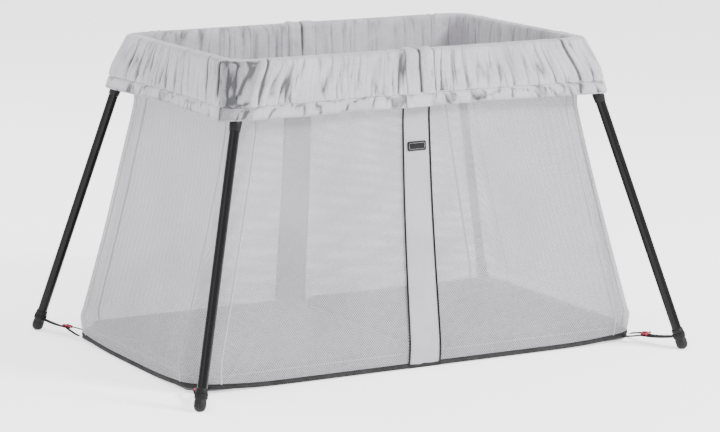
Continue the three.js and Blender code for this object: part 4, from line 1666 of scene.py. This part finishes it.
@dataclass
class Leg:
    """One splayed leg: its tube, top moulding, foot, webbing strap and hook."""

    side: Side
    end: End
    tube_r: float = 10 * MM
    head_r: float = 12 * MM
    collar: tuple[float, float] = (18 * MM, 64 * MM)
    foot_r: float = 12 * MM
    sleeve: float = 34 * MM
    web_t: float = 1.8 * MM
    hook_rise: float = 3.4 * MM
    tuck: float = 13 * MM
    tip_z: float = 9 * MM
    pivot: Vector = field(init=False)
    down: Vector = field(init=False)
    length: float = field(init=False)

    def __post_init__(self) -> None:
        """Reads the leg's line off its joint and its tube."""
        joint = next(j for j in frame["joints"] if j["name"] == f"leg_fold_{self.tag}")
        self.pivot = Vector(joint["pos_m"])
        low, high = (Vector(c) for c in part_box(f"leg_tube_{self.tag}"))
        self.down = ((low + high) / 2 - self.pivot).normalized()
        self.length = (self.pivot.z - (self.foot_r - 2 * MM)) / -self.down.z
        self.pin = Vector(joint["axis"])

    @property
    def tag(self) -> str:
        """The leg's side and end, as node names end."""
        return f"{self.side.word}_{self.end.word}"

    def placing(self) -> Matrix:
        """The leg's own axes: X along the pin, Z up the leg, at the pivot."""
        up = -self.down
        across = up.cross(self.pin).normalized()
        pin = across.cross(up).normalized()
        return Matrix.Translation(self.pivot) @ Matrix((pin, across, up)).transposed().to_4x4()

    def build_tube(self) -> None:
        """Builds the lacquered tube."""
        top, bottom = -self.collar[0] - 6 * MM, -self.length + self.sleeve * 0.4
        count = 40
        rows = [(bottom + (top - bottom) * k / count, self.tube_r) for k in range(count + 1)]
        tube = turned_mesh(f"leg_pole_{self.tag}", rows, self.placing(), 48)
        place(tube, f"leg_{self.tag}", "tube", replaced=[f"leg_tube_{self.tag}"])

    def build_head(self) -> None:
        """Builds the collar and the tongue that the leg swings on."""
        r, (start, stop) = self.head_r, self.collar
        tube_r, low = self.tube_r, -stop
        rows = [
            (low, tube_r + 0.1 * MM), (low, tube_r + 0.9 * MM), (low + 1 * MM, tube_r + 1.2 * MM),
            (low + 8 * MM, r - 0.3 * MM), (low + 9.5 * MM, r), (low + 22 * MM, r),
            (low + 23 * MM, r - 0.6 * MM), (low + 24.5 * MM, r - 0.6 * MM), (low + 25.5 * MM, r),
            (-start - 3 * MM, r), (-start - 0.8 * MM, r - 0.7 * MM), (-start, r - 2 * MM),
        ]
        collar = turned_mesh(f"leg_collar_{self.tag}", rows, self.placing(), 48)
        place(collar, f"leg_{self.tag}", "black_plastic", replaced=[f"leg_head_{self.tag}"])
        eye = 11 * MM
        arc = [(eye * math.cos(a), eye * math.sin(a)) for a in np.linspace(0, math.pi, 17)]
        outline = [(eye - 1 * MM, -start - 1 * MM), *arc, (-eye + 1 * MM, -start - 1 * MM)]
        turn = Matrix(((0, 0, 1), (1, 0, 0), (0, 1, 0))).to_4x4()
        tongue = slab_mesh(f"leg_tongue_{self.tag}", outline, 14 * MM, 1 * MM, self.placing() @ turn)
        place(tongue, f"leg_{self.tag}", "black_plastic")

    def build_foot(self) -> None:
        """Builds the rubber foot, flat where it stands."""
        r, top = self.foot_r, self.sleeve
        rows = [(-r * math.cos(a), r * math.sin(a)) for a in np.linspace(0.12, math.pi / 2, 10)]
        rows += [
            (0.25 * top, r), (0.30 * top, r - 0.7 * MM), (0.34 * top, r - 0.7 * MM), (0.39 * top, r),
            (0.82 * top, r), (0.92 * top, r - 0.2 * MM), (0.97 * top, r - 0.7 * MM),
            (top, self.tube_r + 0.5 * MM), (top, self.tube_r),
        ]
        placing = self.placing() @ Matrix.Translation((0, 0, -self.length))
        foot = turned_mesh(f"foot_cap_{self.tag}", rows, placing, 48)
        points = np.array([v.co for v in foot.data.vertices])
        points[:, 2] = np.maximum(points[:, 2], 0.0)
        foot.data.vertices.foreach_set("co", points.astype(np.float32).ravel())
        place(foot, f"leg_{self.tag}", "foot_rubber", replaced=[f"foot_{self.tag}"])

    def hook_centre(self) -> Vector:
        """Middle of the hook's CAD place."""
        low, high = (Vector(c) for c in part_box(f"strap_hook_{self.tag}"))
        return (low + high) / 2

    def web_axes(self) -> tuple[Vector, Vector, Vector, Vector, float]:
        """The strap's anchor, its way along, its width's way, its upper side and its length."""
        joint = next(j for j in frame["joints"] if j["name"] == f"strap_fold_{self.tag}")
        anchor = Vector(joint["pos_m"])
        hook = self.hook_centre()
        width = (hook - anchor).cross(self.down).normalized()
        upper = (hook - anchor).normalized().cross(width)
        upper = upper if upper.z > 0 else -upper
        along = hook - upper * self.hook_rise - anchor
        along -= width * along.dot(width)
        fork = along.length
        return anchor, along.normalized(), width, upper, fork

    def build_strap(self) -> None:
        """Builds the forked webbing and the loop round the foot."""
        anchor, along, width, upper, fork = self.web_axes()
        length = fork / FORK_SHARE
        stem = [
            anchor + along * (t * fork * 1.05) - upper * (2.0 * MM * math.sin(math.pi * t))
            for t in np.linspace(-0.05, 1, 16)
        ]
        pieces = [self.ribbon(stem, width, 10 * MM, f"foot_web_{self.tag}")]
        for name, way in (("outer", 1), ("inner", -1)):
            root = anchor + along * (fork * 0.9) + width * (way * 5 * MM) + upper * (2.2 * MM)
            tip = anchor + along * (length + self.tuck) + width * (way * 20 * MM)
            tip.z = self.tip_z
            points = [
                root.lerp(tip, t) + width * (way * 3 * MM * math.sin(math.pi * t))
                for t in np.linspace(0, 1, 12)
            ]
            pieces.append(self.ribbon(points, width, 5.2 * MM, f"foot_web_{name}_{self.tag}"))
        for k, piece in enumerate(pieces):
            replaced = [f"foot_strap_{self.tag}"] if k == 0 else ()
            place(piece, f"strap_{self.tag}", "webbing", replaced=replaced)
        placing = self.placing() @ Matrix.Translation((0, 0, -self.length + 0.42 * self.sleeve))
        inner, outer = self.foot_r + 0.1 * MM, self.foot_r + 1.1 * MM
        band = [(0, inner), (0.6 * MM, outer), (10 * MM, outer), (10.6 * MM, inner)]
        loop = turned_mesh(f"foot_web_loop_{self.tag}", band, placing, 40)
        place(loop, f"leg_{self.tag}", "webbing")

    def ribbon(self, points: list[Vector], width: Vector, half: float, name: str) -> bpy.types.Object:
        """A flat strip of webbing along a path."""
        path = np.array(points)
        wide = np.tile(np.array(width), (len(path), 1))
        return cord_mesh(name, path, half, 14, self.web_t / (2 * half), wide)

    def build_hook(self) -> None:
        """Builds the open crimson hook at the fork, over its CAD place."""
        _, along, width, _, _ = self.web_axes()
        centre = self.hook_centre()
        bend = [math.radians(a) for a in range(42, 322, 12)]
        path = [
            centre + along * (HOOK_BEND * math.cos(a)) + width * (HOOK_BEND * math.sin(a)) for a in bend
        ]
        path.append(path[-1] + along * 3.5 * MM - width * 2.0 * MM)
        hook = cord_mesh(f"crimson_hook_{self.tag}", np.array(path), 2.2 * MM, 12)
        place(hook, f"strap_{self.tag}", "hook", replaced=[f"strap_hook_{self.tag}"])
        turn = Matrix((along, width, along.cross(width))).transposed().to_4x4()
        placing = Matrix.Translation(centre - along * 8.5 * MM) @ turn
        outline = rounded_box(5 * MM, 19 * MM, 1.5 * MM)
        bar = slab_mesh(f"crimson_hook_bar_{self.tag}", outline, 4 * MM, 0.9 * MM, placing)
        place(bar, f"strap_{self.tag}", "hook")

    def build(self) -> None:
        """Builds the whole leg."""
        for step in (self.build_tube, self.build_head, self.build_foot, self.build_strap, self.build_hook):
            step()


def dress_hard_parts() -> None:
    """Gives every CAD node that still shows the finish of its slot."""
    slots = {row["node"]: row["material_slot"] for row in frame["record"]["subparts"]}
    for name, thing in frame["nodes"].items():
        if not thing.hide_render:
            Finishes.dress(thing, slots[name])
            LOG.info("%s keeps its CAD shape, finish %s", name, slots[name])


# ---- Studio ----


@dataclass
class Studio:
    """The pale floor, the soft lights and the camera."""

    azimuth: float = -28.5
    elevation: float = 10.46
    distance: float = 6.0885
    target: tuple[float, float, float] = (0.0117, 0.0, 0.2606)
    lens: float = 146.1

    def build_camera(self) -> None:
        """Sets the camera at the viewing angle."""
        a, e = math.radians(self.azimuth), math.radians(self.elevation)
        back = Vector((math.sin(a) * math.cos(e), -math.cos(a) * math.cos(e), math.sin(e)))
        data = bpy.data.cameras.new("Camera")
        data.lens, data.sensor_width, data.clip_end = self.lens, 36.0, 100.0
        camera = bpy.data.objects.new("Camera", data)
        camera.location = Vector(self.target) + back * self.distance
        camera.rotation_euler = back.to_track_quat("Z", "Y").to_euler()
        bpy.context.scene.collection.objects.link(camera)
        bpy.context.scene.camera = camera

    def add_light(self, name: str, place_at: Point, power: float, size: float) -> None:
        """Hangs a square soft light aimed at a point."""
        data = bpy.data.lights.new(name, "AREA")
        data.energy, data.size = power, size
        light = bpy.data.objects.new(name, data)
        light.location = place_at
        light.rotation_euler = (Vector(place_at) - Vector(LIGHT_AIM)).to_track_quat("Z", "Y").to_euler()
        bpy.context.scene.collection.objects.link(light)

    def build_set(self) -> None:
        """Lays the floor and lights it."""
        signs = np.array([[-1, -1, 0], [1, -1, 0], [1, 1, 0], [-1, 1, 0]])
        corners = FLOOR_HALF * signs
        floor = make_mesh("studio_floor", corners, [[0, 1, 2, 3]])
        floor.location.z = -0.0004
        material, g, shader = start_material("Studio paper")
        g.feed(shader, {"Base Color": (0.97, 0.97, 0.975, 1), "Roughness": 0.9})
        g.feed(shader, {"Emission Color": (1, 1, 1, 1), "Emission Strength": FLOOR_GLOW})
        floor.data.materials.append(material)
        world = bpy.data.worlds.new("Studio air")
        world.use_nodes = True
        Graph(world.node_tree).feed(world.node_tree.nodes["Background"], {0: (1, 1, 1, 1), 1: AIR_GLOW})
        bpy.context.scene.world = world
        self.add_light("key", (2.6, -3.4, 3.2), 430, 1.3)
        self.add_light("fill", (-3.6, -2.4, 2.2), 50, 2.6)
        self.add_light("rim", (-1.5, 3.4, 3.0), 120, 2.4)


def main() -> None:
    """Builds the yard round the frame, piece by piece."""
    studio = Studio()
    studio.build_camera()
    Groups.build()
    Finishes.build()
    sizes = TubSizes.from_frame()
    fold = Fold(sizes)
    RimCover(sizes, fold).build()
    NetWalls(sizes, fold).build()
    CentreStraps(sizes, fold).build()
    SoftFloor(sizes, fold).build()
    Mattress().build()
    for side in Side:
        for end in End:
            Leg(side, end).build()
    dress_hard_parts()
    studio.build_set()


if __name__ == "__main__":
    main()
